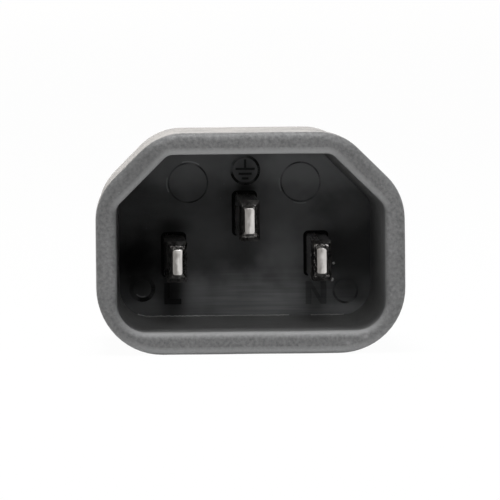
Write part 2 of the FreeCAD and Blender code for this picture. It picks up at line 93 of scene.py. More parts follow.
class Nodes:
    """A short way to add, set and join the nodes of one tree."""

    def __init__(self, tree: bpy.types.NodeTree) -> None:
        """Keep the tree and clear what it holds."""
        self.tree = tree
        tree.nodes.clear()

    def feed(self, socket: bpy.types.NodeSocket, value: Any) -> None:
        """Join a socket to another one, or set its own value.

        Args:
            socket: the input to feed.
            value: an output socket or a plain value.
        """
        if isinstance(value, bpy.types.NodeSocket):
            self.tree.links.new(value, socket)
        else:
            socket.default_value = value

    def add(self, kind: str, inputs: dict[str, Any] | None = None, **settings: Any) -> bpy.types.Node:
        """Add a node.

        Args:
            kind: the node's type name.
            inputs: values or sockets for its inputs, by name.
            **settings: values for its own properties.

        Returns:
            The new node.
        """
        node = self.tree.nodes.new(kind)
        for name, value in settings.items():
            setattr(node, name, value)
        for name, value in (inputs or {}).items():
            self.feed(node.inputs[name], value)
        return node

    def math(self, operation: str, *values: Any, clamp: bool = False) -> bpy.types.NodeSocket:
        """Work out one sum.

        Args:
            operation: the Math node's operation.
            *values: its inputs in order, plain or sockets.
            clamp: whether the result stays between 0 and 1.

        Returns:
            The socket with the result.
        """
        node = self.add("ShaderNodeMath", operation=operation, use_clamp=clamp)
        for socket, value in zip(node.inputs, values):
            self.feed(socket, value)
        return node.outputs[0]

    def blend(self, share: Any, first: Any, second: Any) -> bpy.types.NodeSocket:
        """Mix two colours.

        Args:
            share: how much of the second colour shows.
            first: the colour at 0.
            second: the colour at 1.

        Returns:
            The socket with the mixed colour.
        """
        node = self.add("ShaderNodeMix", data_type="RGBA")
        colours = [socket for socket in node.inputs if socket.type == "RGBA"]
        self.feed(node.inputs[0], share)
        self.feed(colours[0], first)
        self.feed(colours[1], second)
        return next(socket for socket in node.outputs if socket.type == "RGBA")

    def remap(self, value: Any, low: Any, high: Any, start: Any = 0.0, end: Any = 1.0,
              soft: bool = False) -> bpy.types.NodeSocket:
        """Stretch one range of a value over another and hold it there.

        Args:
            value: the value to stretch.
            low: what becomes start.
            high: what becomes end.
            start: the result at low.
            end: the result at high.
            soft: whether the ends ease in and out.

        Returns:
            The socket with the result.
        """
        ease = "SMOOTHSTEP" if soft else "LINEAR"
        node = self.add("ShaderNodeMapRange", interpolation_type=ease)
        for socket, number in zip(node.inputs, (value, low, high, start, end)):
            self.feed(socket, number)
        return node.outputs[0]


def new_material(name: str) -> tuple[bpy.types.Material, Nodes]:
    """Make a material with an empty node tree.

    Args:
        name: its name.

    Returns:
        The material and its nodes.
    """
    material = bpy.data.materials.new(name)
    material.use_nodes = True
    return material, Nodes(material.node_tree)


def grey(tone: float, warmth: float = 0.0) -> tuple[float, float, float, float]:
    """Return a grey as a colour, warmer above 0 and cooler below."""
    return (tone * (1 + warmth), tone, tone * (1 - warmth), 1.0)


def open_group(name: str, takes: dict[str, str], gives: dict[str, str]) -> tuple[Nodes, Any, Any]:
    """Start a shader group with named sockets.

    Args:
        name: the group's name.
        takes: its inputs and their kinds.
        gives: its outputs and their kinds.

    Returns:
        Its nodes, and the outputs of its input node and the inputs of its output node, each by name.
    """
    tree = bpy.data.node_groups.new(name, "ShaderNodeTree")
    for label, kind in takes.items():
        tree.interface.new_socket(label, in_out="INPUT", socket_type=f"NodeSocket{kind}")
    for label, kind in gives.items():
        tree.interface.new_socket(label, in_out="OUTPUT", socket_type=f"NodeSocket{kind}")
    nodes = Nodes(tree)
    return nodes, nodes.add("NodeGroupInput").outputs, nodes.add("NodeGroupOutput").inputs


def moulded_grain() -> bpy.types.NodeTree:
    """Build the shared group for a moulded surface: grain as a height, fine speckle and a slow mottle.

    Returns:
        The group, built once.
    """
    name = "moulded_grain"
    if name in bpy.data.node_groups:
        return bpy.data.node_groups[name]
    takes = {"Vector": "Vector", "Grain scale": "Float", "Mottle scale": "Float"}
    gives = {"Height": "Float", "Speckle": "Float", "Mottle": "Float"}
    coarser, coarse_share = 0.3, 0.7
    spread = (0.3, 0.7)
    nodes, given, result = open_group(name, takes, gives)
    fine = nodes.add("ShaderNodeTexNoise", {"Vector": given["Vector"], "Scale": given["Grain scale"],
                                            "Detail": 3.0, "Roughness": 0.6})
    coarse_scale = nodes.math("MULTIPLY", given["Grain scale"], coarser)
    coarse = nodes.add("ShaderNodeTexNoise", {"Vector": given["Vector"], "Scale": coarse_scale,
                                              "Detail": 1.0})
    height = nodes.math("MULTIPLY_ADD", coarse.outputs[0], coarse_share, fine.outputs[0])
    mottle = nodes.add("ShaderNodeTexNoise", {"Vector": given["Vector"], "Scale": given["Mottle scale"],
                                              "Detail": 4.0, "Roughness": 0.65})
    nodes.feed(result["Height"], height)
    nodes.feed(result["Speckle"], nodes.remap(fine.outputs[0], *spread))
    nodes.feed(result["Mottle"], nodes.remap(mottle.outputs[0], *spread))
    return nodes.tree


def settled_dust() -> bpy.types.NodeTree:
    """Build the shared group for dust: a mask of small scattered specks.

    Returns:
        The group, built once.
    """
    name = "settled_dust"
    if name in bpy.data.node_groups:
        return bpy.data.node_groups[name]
    takes = {"Vector": "Vector", "Speck scale": "Float", "Cover": "Float"}
    largest, solid_share = 0.3, 0.4
    nodes, given, result = open_group(name, takes, {"Mask": "Float"})
    cells = nodes.add("ShaderNodeTexVoronoi", {"Vector": given["Vector"], "Scale": given["Speck scale"]})
    chance = nodes.add("ShaderNodeSeparateColor", {"Color": cells.outputs["Color"]})
    chosen = nodes.math("LESS_THAN", chance.outputs[0], given["Cover"])
    size = nodes.math("MULTIPLY", chance.outputs[1], largest)
    near = nodes.remap(cells.outputs["Distance"], size, nodes.math("MULTIPLY", size, solid_share))
    nodes.feed(result["Mask"], nodes.math("MULTIPLY", chosen, near))
    return nodes.tree


def soft_patch() -> bpy.types.NodeTree:
    """Build the shared group for a patch, which lays painted shade, painted light and scuffs: a mask about a
    centre, with an uneven or streaked edge.

    Returns:
        The group, built once.
    """
    name = "soft_patch"
    if name in bpy.data.node_groups:
        return bpy.data.node_groups[name]
    takes = {"Vector": "Vector", "Centre": "Vector", "Reach": "Vector", "Streaks": "Float"}
    waver_scale, waver = 420.0, 0.5
    clear, solid = 1.2, 0.35
    streak_scale, streak_spread = (140.0, 140.0, 3600.0), (0.38, 0.68)
    nodes, given, result = open_group(name, takes, {"Mask": "Float"})
    away = nodes.add("ShaderNodeVectorMath", {0: given["Vector"], 1: given["Centre"]}, operation="SUBTRACT")
    share = nodes.add("ShaderNodeVectorMath", {0: away.outputs[0], 1: given["Reach"]}, operation="DIVIDE")
    distance = nodes.add("ShaderNodeVectorMath", {0: share.outputs[0]}, operation="LENGTH").outputs["Value"]
    uneven = nodes.add("ShaderNodeTexNoise", {"Vector": given["Vector"], "Scale": waver_scale, "Detail": 2.0})
    edge = nodes.math("MULTIPLY_ADD", uneven.outputs[0], waver, distance)
    near = nodes.remap(edge, clear, solid, soft=True)
    flow = nodes.add("ShaderNodeMapping", {"Vector": given["Vector"], "Scale": streak_scale})
    lines = nodes.add("ShaderNodeTexNoise", {"Vector": flow.outputs[0], "Scale": 1.0, "Detail": 2.0})
    gaps = nodes.math("SUBTRACT", 1.0, nodes.remap(lines.outputs[0], *streak_spread))
    kept = nodes.math("SUBTRACT", 1.0, nodes.math("MULTIPLY", given["Streaks"], gaps))
    nodes.feed(result["Mask"], nodes.math("MULTIPLY", near, kept))
    return nodes.tree


# Finishes

@dataclass(frozen=True)
class Patch:
    """A patch over a moulded face's grey, for painted shade, painted light and scuffs: where it lies, how far
    it reaches and what it does to the grey.

    Its centre and reach are given across the plug, and again along it.
    """

    centre: Spot
    reach: Spot
    tone: float
    share: float
    streaks: float = 0.0
    along: Spot = (0.0, 100.0)


@dataclass(frozen=True)
class MouldedPlastic:
    """A moulded plastic: its two greys, its grain, its dust and its gloss."""

    name: str
    dark: float
    light: float
    warmth: float
    roughness: Spot
    specular: float
    grain_scale: float
    mottle_scale: float
    grain_height: float
    dust_cover: float
    dust_tone: float
    dust_scale: float = 3000.0
    gloss_scale: float = 400.0
    speckle: float = 0.3
    streak: Point = (1.0, 1.0, 1.0)
    # The patches and the two tones below lay painted shade and painted light; a patch can also be a scuff.
    patches: tuple[Patch, ...] = ()
    painted_shade_tone: float | None = None
    painted_light_tone: float | None = None

    def patched(self, nodes: Nodes, where: bpy.types.NodeSocket,
                colour: bpy.types.NodeSocket) -> bpy.types.NodeSocket:
        """Lay the patches of painted shade, painted light and scuffs over a colour, then the painted shade
        and painted light that the mesh marks.

        Args:
            nodes: the material's nodes.
            where: the coordinates.
            colour: the colour to start from.

        Returns:
            The socket with the new colour.
        """
        for patch in self.patches:
            centre = Vector((patch.centre[0], patch.along[0], patch.centre[1])) * MM
            reach = Vector((patch.reach[0], patch.along[1], patch.reach[1])) * MM
            mask = nodes.add("ShaderNodeGroup", {"Vector": where, "Centre": centre, "Reach": reach,
                                                 "Streaks": patch.streaks}, node_tree=soft_patch())
            share = nodes.math("MULTIPLY", mask.outputs["Mask"], patch.share)
            colour = nodes.blend(share, colour, grey(patch.tone, self.warmth))
        # Painted shade, then painted light, where the mesh marks them.
        for mark, tone in ((PAINTED_SHADE, self.painted_shade_tone), (PAINTED_LIGHT, self.painted_light_tone)):
            if tone is not None:
                share = nodes.add("ShaderNodeAttribute", attribute_name=mark).outputs["Fac"]
                colour = nodes.blend(share, colour, grey(tone, self.warmth))
        return colour

    def material(self) -> bpy.types.Material:
        """Build the material.

        Returns:
            The material, built once.
        """
        if self.name in bpy.data.materials:
            return bpy.data.materials[self.name]
        material, nodes = new_material(self.name)
        where = nodes.add("ShaderNodeTexCoord").outputs["Object"]
        flow = nodes.add("ShaderNodeMapping", {"Vector": where, "Scale": self.streak}).outputs[0]
        grain, streaks = [
            nodes.add("ShaderNodeGroup", {"Vector": place, "Grain scale": self.grain_scale,
                                          "Mottle scale": mottle}, node_tree=moulded_grain())
            for place, mottle in ((where, self.gloss_scale), (flow, self.mottle_scale))]
        dust = nodes.add("ShaderNodeGroup", {"Vector": where, "Speck scale": self.dust_scale,
                                             "Cover": self.dust_cover}, node_tree=settled_dust())
        tone = nodes.math("MULTIPLY_ADD", grain.outputs["Speckle"], self.speckle,
                          nodes.math("MULTIPLY", streaks.outputs["Mottle"], 1 - self.speckle))
        body = nodes.blend(tone, grey(self.dark, self.warmth), grey(self.light, self.warmth))
        dusty = nodes.blend(dust.outputs["Mask"], body, grey(self.dust_tone, self.warmth))
        colour = self.patched(nodes, where, dusty)
        gloss = nodes.remap(grain.outputs["Mottle"], 0.0, 1.0, *self.roughness)
        bump = nodes.add("ShaderNodeBump", {"Height": grain.outputs["Height"],
                                            "Distance": self.grain_height * MM})
        shader = nodes.add("ShaderNodeBsdfPrincipled", {
            "Base Color": colour, "Roughness": gloss, "Normal": bump.outputs[0],
            "Specular IOR Level": self.specular})
        nodes.add("ShaderNodeOutputMaterial", {"Surface": shader.outputs[0]})
        return material


@dataclass(frozen=True)
class NickelPlate:
    """Nickel over brass: drawn lines along each pin, a painted highlight on one side of each pin and painted
    shade on the other, and burrs round the tip.
    """

    name: str = "nickel_plate"
    bright: float = 0.62
    painted_shade_grey: float = 0.17
    dull: float = 0.13
    warmth: float = 0.03
    roughness: Spot = (0.14, 0.28)
    line_scale: Point = (3200.0, 60.0, 420.0)
    line_height: float = 0.0003
    line_spread: Spot = (0.35, 0.65)
    line_share: float = 0.3
    spacing: float = 7.0
    highlight_edge: Spot = (-0.24, 0.26)
    highlight_waver: float = 0.5
    waver_scale: float = 900.0
    dust_scale: float = 2500.0
    dust_cover: float = 0.03
    dust_share: float = 0.5
    dust_grey: Spot = (0.28, 0.08)
    burr_scale: float = 2900.0
    burr_height: float = 0.17
    dent_edge: Spot = (0.54, 0.43)

    def painted_highlight_side(self, nodes: Nodes, where: bpy.types.NodeSocket) -> bpy.types.NodeSocket:
        """Return a mask of the side of each pin that gets the painted highlight, with a wavering edge.

        Args:
            nodes: the material's nodes.
            where: the coordinates.

        Returns:
            The socket with the mask.
        """
        across = nodes.add("ShaderNodeSeparateXYZ", {"Vector": where}).outputs["X"]
        local = nodes.math("WRAP", across, self.spacing / 2 * MM, -self.spacing / 2 * MM)
        waver = nodes.add("ShaderNodeTexNoise", {"Vector": where, "Scale": self.waver_scale, "Detail": 2.0})
        shift = nodes.math("MULTIPLY", nodes.math("SUBTRACT", waver.outputs[0], 0.5), 2 * self.highlight_waver * MM)
        low, high = self.highlight_edge
        return nodes.remap(nodes.math("ADD", local, shift), low * MM, high * MM, soft=True)

    def material(self) -> bpy.types.Material:
        """Build the material.

        Returns:
            The material, built once.
        """
        if self.name in bpy.data.materials:
            return bpy.data.materials[self.name]
        material, nodes = new_material(self.name)
        where = nodes.add("ShaderNodeTexCoord").outputs["Object"]
        flow = nodes.add("ShaderNodeMapping", {"Vector": where, "Scale": self.line_scale}).outputs[0]
        lines = nodes.add("ShaderNodeTexNoise", {"Vector": flow, "Scale": 1.0, "Detail": 3.0}).outputs[0]
        dust = nodes.add("ShaderNodeGroup", {"Vector": where, "Speck scale": self.dust_scale,
                                             "Cover": self.dust_cover}, node_tree=settled_dust())
        streaked = nodes.remap(lines, *self.line_spread, 0.0, self.line_share)
        # Painted highlight on one side of each pin and painted shade on the other, with the drawn lines over
        # both.
        shine = nodes.math("MULTIPLY_ADD", self.painted_highlight_side(nodes, where), 1 - self.line_share, streaked)
        plate = nodes.blend(shine, grey(self.painted_shade_grey, 2 * self.warmth), grey(self.bright, self.warmth))
        settled = nodes.math("MULTIPLY", dust.outputs["Mask"], self.dust_share)
        dusty = nodes.blend(settled, plate, grey(*self.dust_grey))
        burr = nodes.add("ShaderNodeAttribute", attribute_name=BURR).outputs["Fac"]
        rough = nodes.add("ShaderNodeTexNoise", {"Vector": where, "Scale": self.burr_scale, "Detail": 2.0})
        dents = nodes.math("MULTIPLY", nodes.remap(rough.outputs[0], *self.dent_edge, soft=True), burr)
        colour = nodes.blend(dents, dusty, grey(self.dull, self.warmth))
        gloss = nodes.remap(shine, 0.0, 1.0, self.roughness[1], self.roughness[0])
        torn = nodes.math("MULTIPLY", nodes.math("SUBTRACT", rough.outputs[0], 0.5), burr)
        burred = nodes.add("ShaderNodeBump", {"Height": torn, "Distance": self.burr_height * MM})
        bump = nodes.add("ShaderNodeBump", {"Height": lines, "Distance": self.line_height * MM,
                                            "Normal": burred.outputs[0]})
        shader = nodes.add("ShaderNodeBsdfPrincipled", {
            "Base Color": colour, "Roughness": gloss, "Normal": bump.outputs[0], "Metallic": 1.0})
        nodes.add("ShaderNodeOutputMaterial", {"Surface": shader.outputs[0]})
        return material


SOFT_PVC = MouldedPlastic(
    name="grained_pvc", dark=0.098, light=0.217, warmth=-0.005, roughness=(0.46, 0.58), specular=0.3,
    grain_scale=3000.0, mottle_scale=800.0, grain_height=0.06, dust_cover=0.06, dust_tone=0.24,
    # The hollow's wall gets painted shade; the rim's downward edges, lower lip and lower wall get painted
    # light.
    speckle=0.8, painted_shade_tone=0.135, painted_light_tone=0.32,
    # The first four patches are painted shade on the rim's corners; the last two are real pale scuffs.
    patches=(
        Patch((-13.2, 17.4), (6.4, 7.4), 0.05, 0.30, along=(-22.0, 5.0)),
        Patch((-10.6, 19.2), (4.0, 3.6), 0.05, 0.26, along=(-22.0, 5.0)),
        Patch((10.8, 18.9), (5.0, 4.6), 0.05, 0.24, along=(-22.0, 5.0)),
        Patch((-12.6, 2.6), (5.0, 4.6), 0.05, 0.22, along=(-22.0, 5.0)),
        Patch((11.05, 1.62), (0.50, 0.32), 0.34, 0.45, along=(-22.0, 1.5)),
        Patch((9.34, 1.02), (0.55, 0.30), 0.34, 0.40, along=(-22.0, 1.5))))
# The flash is real; its pale grey is partly a painted highlight where it catches light in the dark hollow.
FLASH_PVC = MouldedPlastic(
    name="pvc_flash", dark=0.42, light=0.70, warmth=0.0, roughness=(0.45, 0.60), specular=0.5,
    grain_scale=6000.0, mottle_scale=900.0, grain_height=0.01, dust_cover=0.02, dust_tone=0.50)
BRIDGE_PLASTIC = MouldedPlastic(
    name="black_bridge_plastic", dark=0.042, light=0.072, warmth=-0.02, roughness=(0.42, 0.56), specular=0.04,
    grain_scale=7000.0, mottle_scale=170.0, grain_height=0.008, dust_cover=0.02, dust_tone=0.12,
    # Sunk marks and the recesses round the pins get painted shade; bright arcs beside the rings get painted
    # highlights.
    streak=(0.7, 1.0, 1.8), painted_shade_tone=0.006, painted_light_tone=0.26,
    # Every patch is painted light or painted shade on the floor: lighter patches where light falls, darker
    # ones where walls and pins shade it.
    patches=(
        Patch((1.6, 3.5), (14.5, 5.5), 0.31, 0.95, 0.3),
        Patch((-5.0, 17.6), (9.5, 3.8), 0.19, 0.7),
        Patch((6.0, 17.2), (9.5, 4.4), 0.25, 0.7),
        Patch((3.8, 13.0), (5.5, 4.6), 0.155, 0.7),
        Patch((-3.6, 11.4), (4.6, 6.0), 0.115, 0.6),
        Patch((-10.8, 8.2), (5.0, 4.4), 0.0, 1.0),
        Patch((-7.1, 4.9), (2.3, 3.6), 0.0, 0.84),
        Patch((-4.9, 4.6), (2.0, 3.0), 0.20, 0.5),
        Patch((-10.3, 6.0), (2.0, 1.8), 0.0, 0.6),
        Patch((12.0, 5.2), (1.5, 2.6), 0.14, 0.6),
        Patch((-9.8, 3.4), (4.6, 1.6), 0.15, 0.7),
        Patch((10.8, 8.6), (3.8, 4.2), 0.055, 0.7),
        Patch((0.15, 15.2), (1.6, 1.0), 0.0, 0.8),
        Patch((4.2, 9.0), (4.6, 4.2), 0.20, 0.75),
        Patch((10.2, 3.2), (3.6, 1.4), 0.32, 0.65),
        Patch((9.9, 5.4), (2.0, 2.0), 0.03, 0.5),
        Patch((7.0, 4.9), (2.3, 2.2), 0.03, 0.32),
        Patch((10.2, 12.9), (3.4, 3.2), 0.13, 0.65),
        Patch((7.3, 11.6), (2.8, 1.8), 0.14, 0.6),
        Patch((-7.2, 11.5), (2.6, 1.5), 0.0, 0.7),
        Patch((0.1, 16.9), (2.4, 2.4), 0.02, 0.5)))
# The specks are real; their pale grey is partly a painted highlight in the dark hollow.
PALE_CRUMB = MouldedPlastic(
    name="pale_crumb", dark=0.70, light=0.88, warmth=0.01, roughness=(0.35, 0.50), specular=0.5,
    grain_scale=6000.0, mottle_scale=900.0, grain_height=0.01, dust_cover=0.0, dust_tone=0.50)
CORE_PLASTIC = MouldedPlastic(
    name="black_core_plastic", dark=0.040, light=0.065, warmth=0.01, roughness=(0.45, 0.60), specular=0.4,
    grain_scale=6000.0, mottle_scale=500.0, grain_height=0.008, dust_cover=0.03, dust_tone=0.12)
NICKEL = NickelPlate()


# Outlines and meshes

def between(first: Sequence[float], second: Sequence[float], share: float) -> Spot:
    """Return the spot that lies a share of the way from one to another."""
    return (first[0] + (second[0] - first[0]) * share, first[1] + (second[1] - first[1]) * share)


def on_circle(centre: Sequence[float], radius: float, turn: float) -> Spot:
    """Return the spot of a circle at an angle in radians."""
    return (centre[0] + radius * math.cos(turn), centre[1] + radius * math.sin(turn))


@dataclass(frozen=True)
class Outline:
    """The plug's cross shape: a flat foot, rounded lower corners and chamfered, softened upper corners."""

    width: float
    height: float
    chamfer: float
    top_radius: float
    foot_radius: float
    bottom: float
    centre: float = 0.0

    @classmethod
    def rounded(cls, width: float, height: float, radius: float, middle: float = AXIS_HEIGHT,
                centre: float = 0.0) -> "Outline":
        """Return a plain rectangle with round corners, about a middle height.

        Args:
            width: its size along X.
            height: its size along Z.
            radius: its corners' radius.
            middle: the height of its middle.
            centre: the X of its middle.

        Returns:
            The outline.
        """
        return cls(width, height, (2 - math.sqrt(2)) * radius, radius, radius, middle - height / 2, centre)

    def inset(self, depth: float) -> "Outline":
        """Move the outline inwards all round.

        Args:
            depth: how far, or how far outwards where it is negative.

        Returns:
            The new outline.
        """
        least = 0.02
        return Outline(self.width - 2 * depth, self.height - 2 * depth,
                       self.chamfer - (2 - math.sqrt(2)) * depth,
                       max(self.top_radius - depth, least), max(self.foot_radius - depth, least),
                       self.bottom + depth, self.centre)

    def toward(self, other: "Outline", share: float) -> "Outline":
        """Return the outline that lies a share of the way to another one."""
        pairs = zip(vars(self).values(), vars(other).values())
        return Outline(*[mine + (theirs - mine) * share for mine, theirs in pairs])

    def spots(self, steps: "Steps") -> list[Spot]:
        """Sample the outline, counter-clockwise as seen from the rim.

        Args:
            steps: how many pieces each stretch is cut into.

        Returns:
            Its points as X and Z.
        """
        half, top = self.width / 2, self.bottom + self.height
        bend = self.top_radius * math.tan(HALF_BEND)
        slope = bend / math.sqrt(2)
        shoulder, crown = top - self.chamfer, half - self.chamfer
        foot, high = self.foot_radius, self.top_radius
        stretches = [
            ("line", (half - foot, self.bottom), steps.foot),
            ("arc", (half - foot, self.bottom + foot, foot, 270, 360), steps.foot_arc),
            ("line", (half, shoulder - bend), steps.side),
            ("arc", (half - high, shoulder - bend, high, 0, 45), steps.top_arc),
            ("line", (crown + slope, top - slope), steps.slant),
            ("arc", (crown - bend, top - high, high, 45, 90), steps.top_arc),
            ("line", (bend - crown, top), steps.crown),
            ("arc", (bend - crown, top - high, high, 90, 135), steps.top_arc),
            ("line", (slope - half, shoulder + slope), steps.slant),
            ("arc", (high - half, shoulder - bend, high, 135, 180), steps.top_arc),
            ("line", (-half, self.bottom + foot), steps.side),
            ("arc", (foot - half, self.bottom + foot, foot, 180, 270), steps.foot_arc),
        ]
        here = (foot - half, self.bottom)
        found: list[Spot] = []
        for kind, data, count in stretches:
            shares = [index / count for index in range(count)]
            if kind == "line":
                found += [between(here, data, share) for share in shares]
                here = data
            else:
                x, z, radius, first, last = data
                turns = [math.radians(first + (last - first) * share) for share in shares]
                found += [on_circle((x, z), radius, turn) for turn in turns]
                here = on_circle((x, z), radius, math.radians(last))
        return [(x + self.centre, z) for x, z in found]

    def ring(self, depth: float, steps: "Steps") -> Ring:
        """Return the outline's points in space at a depth behind the rim."""
        return [(x, depth + RIM_Y, z) for x, z in self.spots(steps)]


@dataclass(frozen=True)
class Steps:
    """How many pieces each stretch of an outline is cut into."""

    foot: int = 28
    foot_arc: int = 14
    side: int = 40
    top_arc: int = 8
    slant: int = 10
    crown: int = 24


FLOOR = Outline(24.7, 16.2, 4.9, 1.2, 2.9, 2.65)


def round_ring(like: Ring, radius: float, depth: float, centre: float = 0.0,
               middle: float = AXIS_HEIGHT) -> Ring:
    """Return a circle whose points lie in the directions of another ring's points.

    Args:
        like: the ring that gives the directions.
        radius: the circle's radius.
        depth: its depth behind the rim.
        centre: the X of its middle.
        middle: the height of its middle.

    Returns:
        The circle's points.
    """
    found = []
    for x, _, z in like:
        across, up = on_circle((centre, middle), radius, math.atan2(z - middle, x - centre))
        found.append((across, depth + RIM_Y, up))
    return found


def rounded_path(corners: Sequence[Point], steps: int = 8) -> list[Spot]:
    """Run through corners and round each one off.

    Args:
        corners: a depth, a reach and a radius for each corner; the ends have the radius 0.
        steps: how many pieces each round is cut into.

    Returns:
        The points of the path as depth and reach.
    """
    path: list[Spot] = []
    for index, (depth, reach, radius) in enumerate(corners):
        here = Vector((depth, reach))
        if radius == 0:
            path.append((depth, reach))
            continue
        back = (Vector(corners[index - 1][:2]) - here).normalized()
        ahead = (Vector(corners[index + 1][:2]) - here).normalized()
        half = back.angle(ahead) / 2
        run = radius / math.tan(half)
        middle = here + (back + ahead).normalized() * radius / math.sin(half)
        start, end = here + back * run - middle, here + ahead * run - middle
        first = math.atan2(start.y, start.x)
        sweep = math.remainder(math.atan2(end.y, end.x) - first, math.tau)
        for step in range(steps + 1):
            path.append(on_circle(middle, radius, first + sweep * step / steps))
    return path


def filled_path(path: Sequence[Spot], longest: float, fine: float = 0.0,
                zone: Spot = (0.0, 0.0)) -> list[Spot]:
    """Cut the long stretches of a path into short ones.

    Args:
        path: the path's points.
        longest: the longest stretch left.
        fine: the longest stretch left inside the zone.
        zone: the depths between which the path is cut finer.

    Returns:
        The path with the points added.
    """
    result = [path[0]]
    for start, end in zip(path, path[1:]):
        marks = sorted({0.0, 1.0} | {(edge - start[0]) / (end[0] - start[0]) for edge in zone
                                     if fine and min(start[0], end[0]) < edge < max(start[0], end[0])})
        for low, high in zip(marks, marks[1:]):
            first, last = between(start, end, low), between(start, end, high)
            inside = fine and zone[0] <= (first[0] + last[0]) / 2 <= zone[1]
            count = max(1, math.ceil(math.dist(first, last) / (fine if inside else longest)))
            result += [between(first, last, step / count) for step in range(1, count + 1)]
    return result


def new_object(name: str, data: bpy.types.ID) -> bpy.types.Object:
    """Put an object into the scene.

    Args:
        name: its name.
        data: its mesh, lamp or camera.

    Returns:
        The new object.
    """
    piece = bpy.data.objects.new(name, data)
    bpy.context.scene.collection.objects.link(piece)
    return piece


def new_piece(name: str, mesh: bpy.types.Mesh, smooth_below: float = 35.0) -> bpy.types.Object:
    """Put a mesh into the scene as a smooth piece.

    Args:
        name: the piece's name.
        mesh: its mesh, in metres.
        smooth_below: edges that bend by more than this, in degrees, stay sharp.

    Returns:
        The new object.
    """
    mesh.shade_smooth()
    mesh.set_sharp_from_angle(angle=math.radians(smooth_below))
    return new_object(name, mesh)


def set_shares(mesh: bpy.types.Mesh, mark: str, shares: Sequence[float], domain: str = "POINT") -> None:
    """Store a share for each point or face of a mesh, which its material reads.

    Args:
        mesh: the mesh.
        mark: the name of the attribute.
        shares: its values in order.
        domain: POINT or FACE.
    """
    mesh.attributes.new(mark, "FLOAT", domain).data.foreach_set("value", shares)


def mesh_from(name: str, points: Sequence[Point], faces: Sequence[Sequence[int]]) -> bpy.types.Mesh:
    """Make a mesh in metres from points in millimetres, its faces turned outwards.

    Args:
        name: the mesh's name.
        points: its points.
        faces: its faces, by point.

    Returns:
        The mesh.
    """
    mesh = bpy.data.meshes.new(name)
    mesh.from_pydata([Vector(point) * MM for point in points], [], faces)
    work = bmesh.new()
    work.from_mesh(mesh)
    bmesh.ops.recalc_face_normals(work, faces=work.faces)
    work.to_mesh(mesh)
    work.free()
    return mesh


def skin_over(rings: Sequence[Ring], closed: bool) -> tuple[list[Point], list[list[int]]]:
    """Span quads between rings of the same length.

    Args:
        rings: the rings in order.
        closed: whether the last ring joins the first; otherwise both ends are capped.

    Returns:
        The points and the faces.
    """
    count, total = len(rings[0]), len(rings)
    points = [point for ring in rings for point in ring]
    faces = []
    for index in range(total if closed else total - 1):
        low, high = index * count, (index + 1) % total * count
        for step in range(count):
            after = (step + 1) % count
            faces.append([low + step, low + after, high + after, high + step])
    if not closed:
        faces.append(list(range(count)))
        faces.append(list(range((total - 1) * count, total * count)))
    return points, faces


class Modelled:
    """A piece whose shape a node tree makes from a starting mesh."""

    def __init__(self, name: str, takes: dict[str, tuple[str, Any]]) -> None:
        """Start the tree.

        Args:
            name: the tree's name.
            takes: its inputs by name, each a kind and the value it gets.
        """
        self.tree = bpy.data.node_groups.new(name, "GeometryNodeTree")
        self.tree.interface.new_socket("Geometry", in_out="INPUT", socket_type="NodeSocketGeometry")
        self.values = {}
        for label, (kind, value) in takes.items():
            socket = self.tree.interface.new_socket(label, in_out="INPUT", socket_type=f"NodeSocket{kind}")
            self.values[socket.identifier] = value
        self.tree.interface.new_socket("Geometry", in_out="OUTPUT", socket_type="NodeSocketGeometry")
        self.nodes = Nodes(self.tree)
        self.given = self.nodes.add("NodeGroupInput").outputs

    def close(self, shape: bpy.types.NodeSocket) -> None:
        """End the tree: make instances real and set the material.

        Args:
            shape: the geometry that the tree has made.
        """
        real = self.nodes.add("GeometryNodeRealizeInstances", {"Geometry": shape})
        dressed = self.nodes.add("GeometryNodeSetMaterial", {"Geometry": real.outputs[0],
                                                             "Material": self.given["Material"]})
        self.nodes.add("NodeGroupOutput", {"Geometry": dressed.outputs[0]})

    def apply(self, piece: bpy.types.Object) -> bpy.types.Mesh:
        """Run the tree on an object and turn the result into a plain mesh.

        Args:
            piece: the object with the starting mesh.

        Returns:
            The new mesh, which the object now has.
        """
        modifier = piece.modifiers.new(self.tree.name, "NODES")
        modifier.node_group = self.tree
        for identifier, value in self.values.items():
            modifier[identifier] = value
        depsgraph = bpy.context.evaluated_depsgraph_get()
        mesh = bpy.data.meshes.new_from_object(piece.evaluated_get(depsgraph))
        piece.modifiers.clear()
        piece.data = mesh
        return mesh


# Sub-assemblies

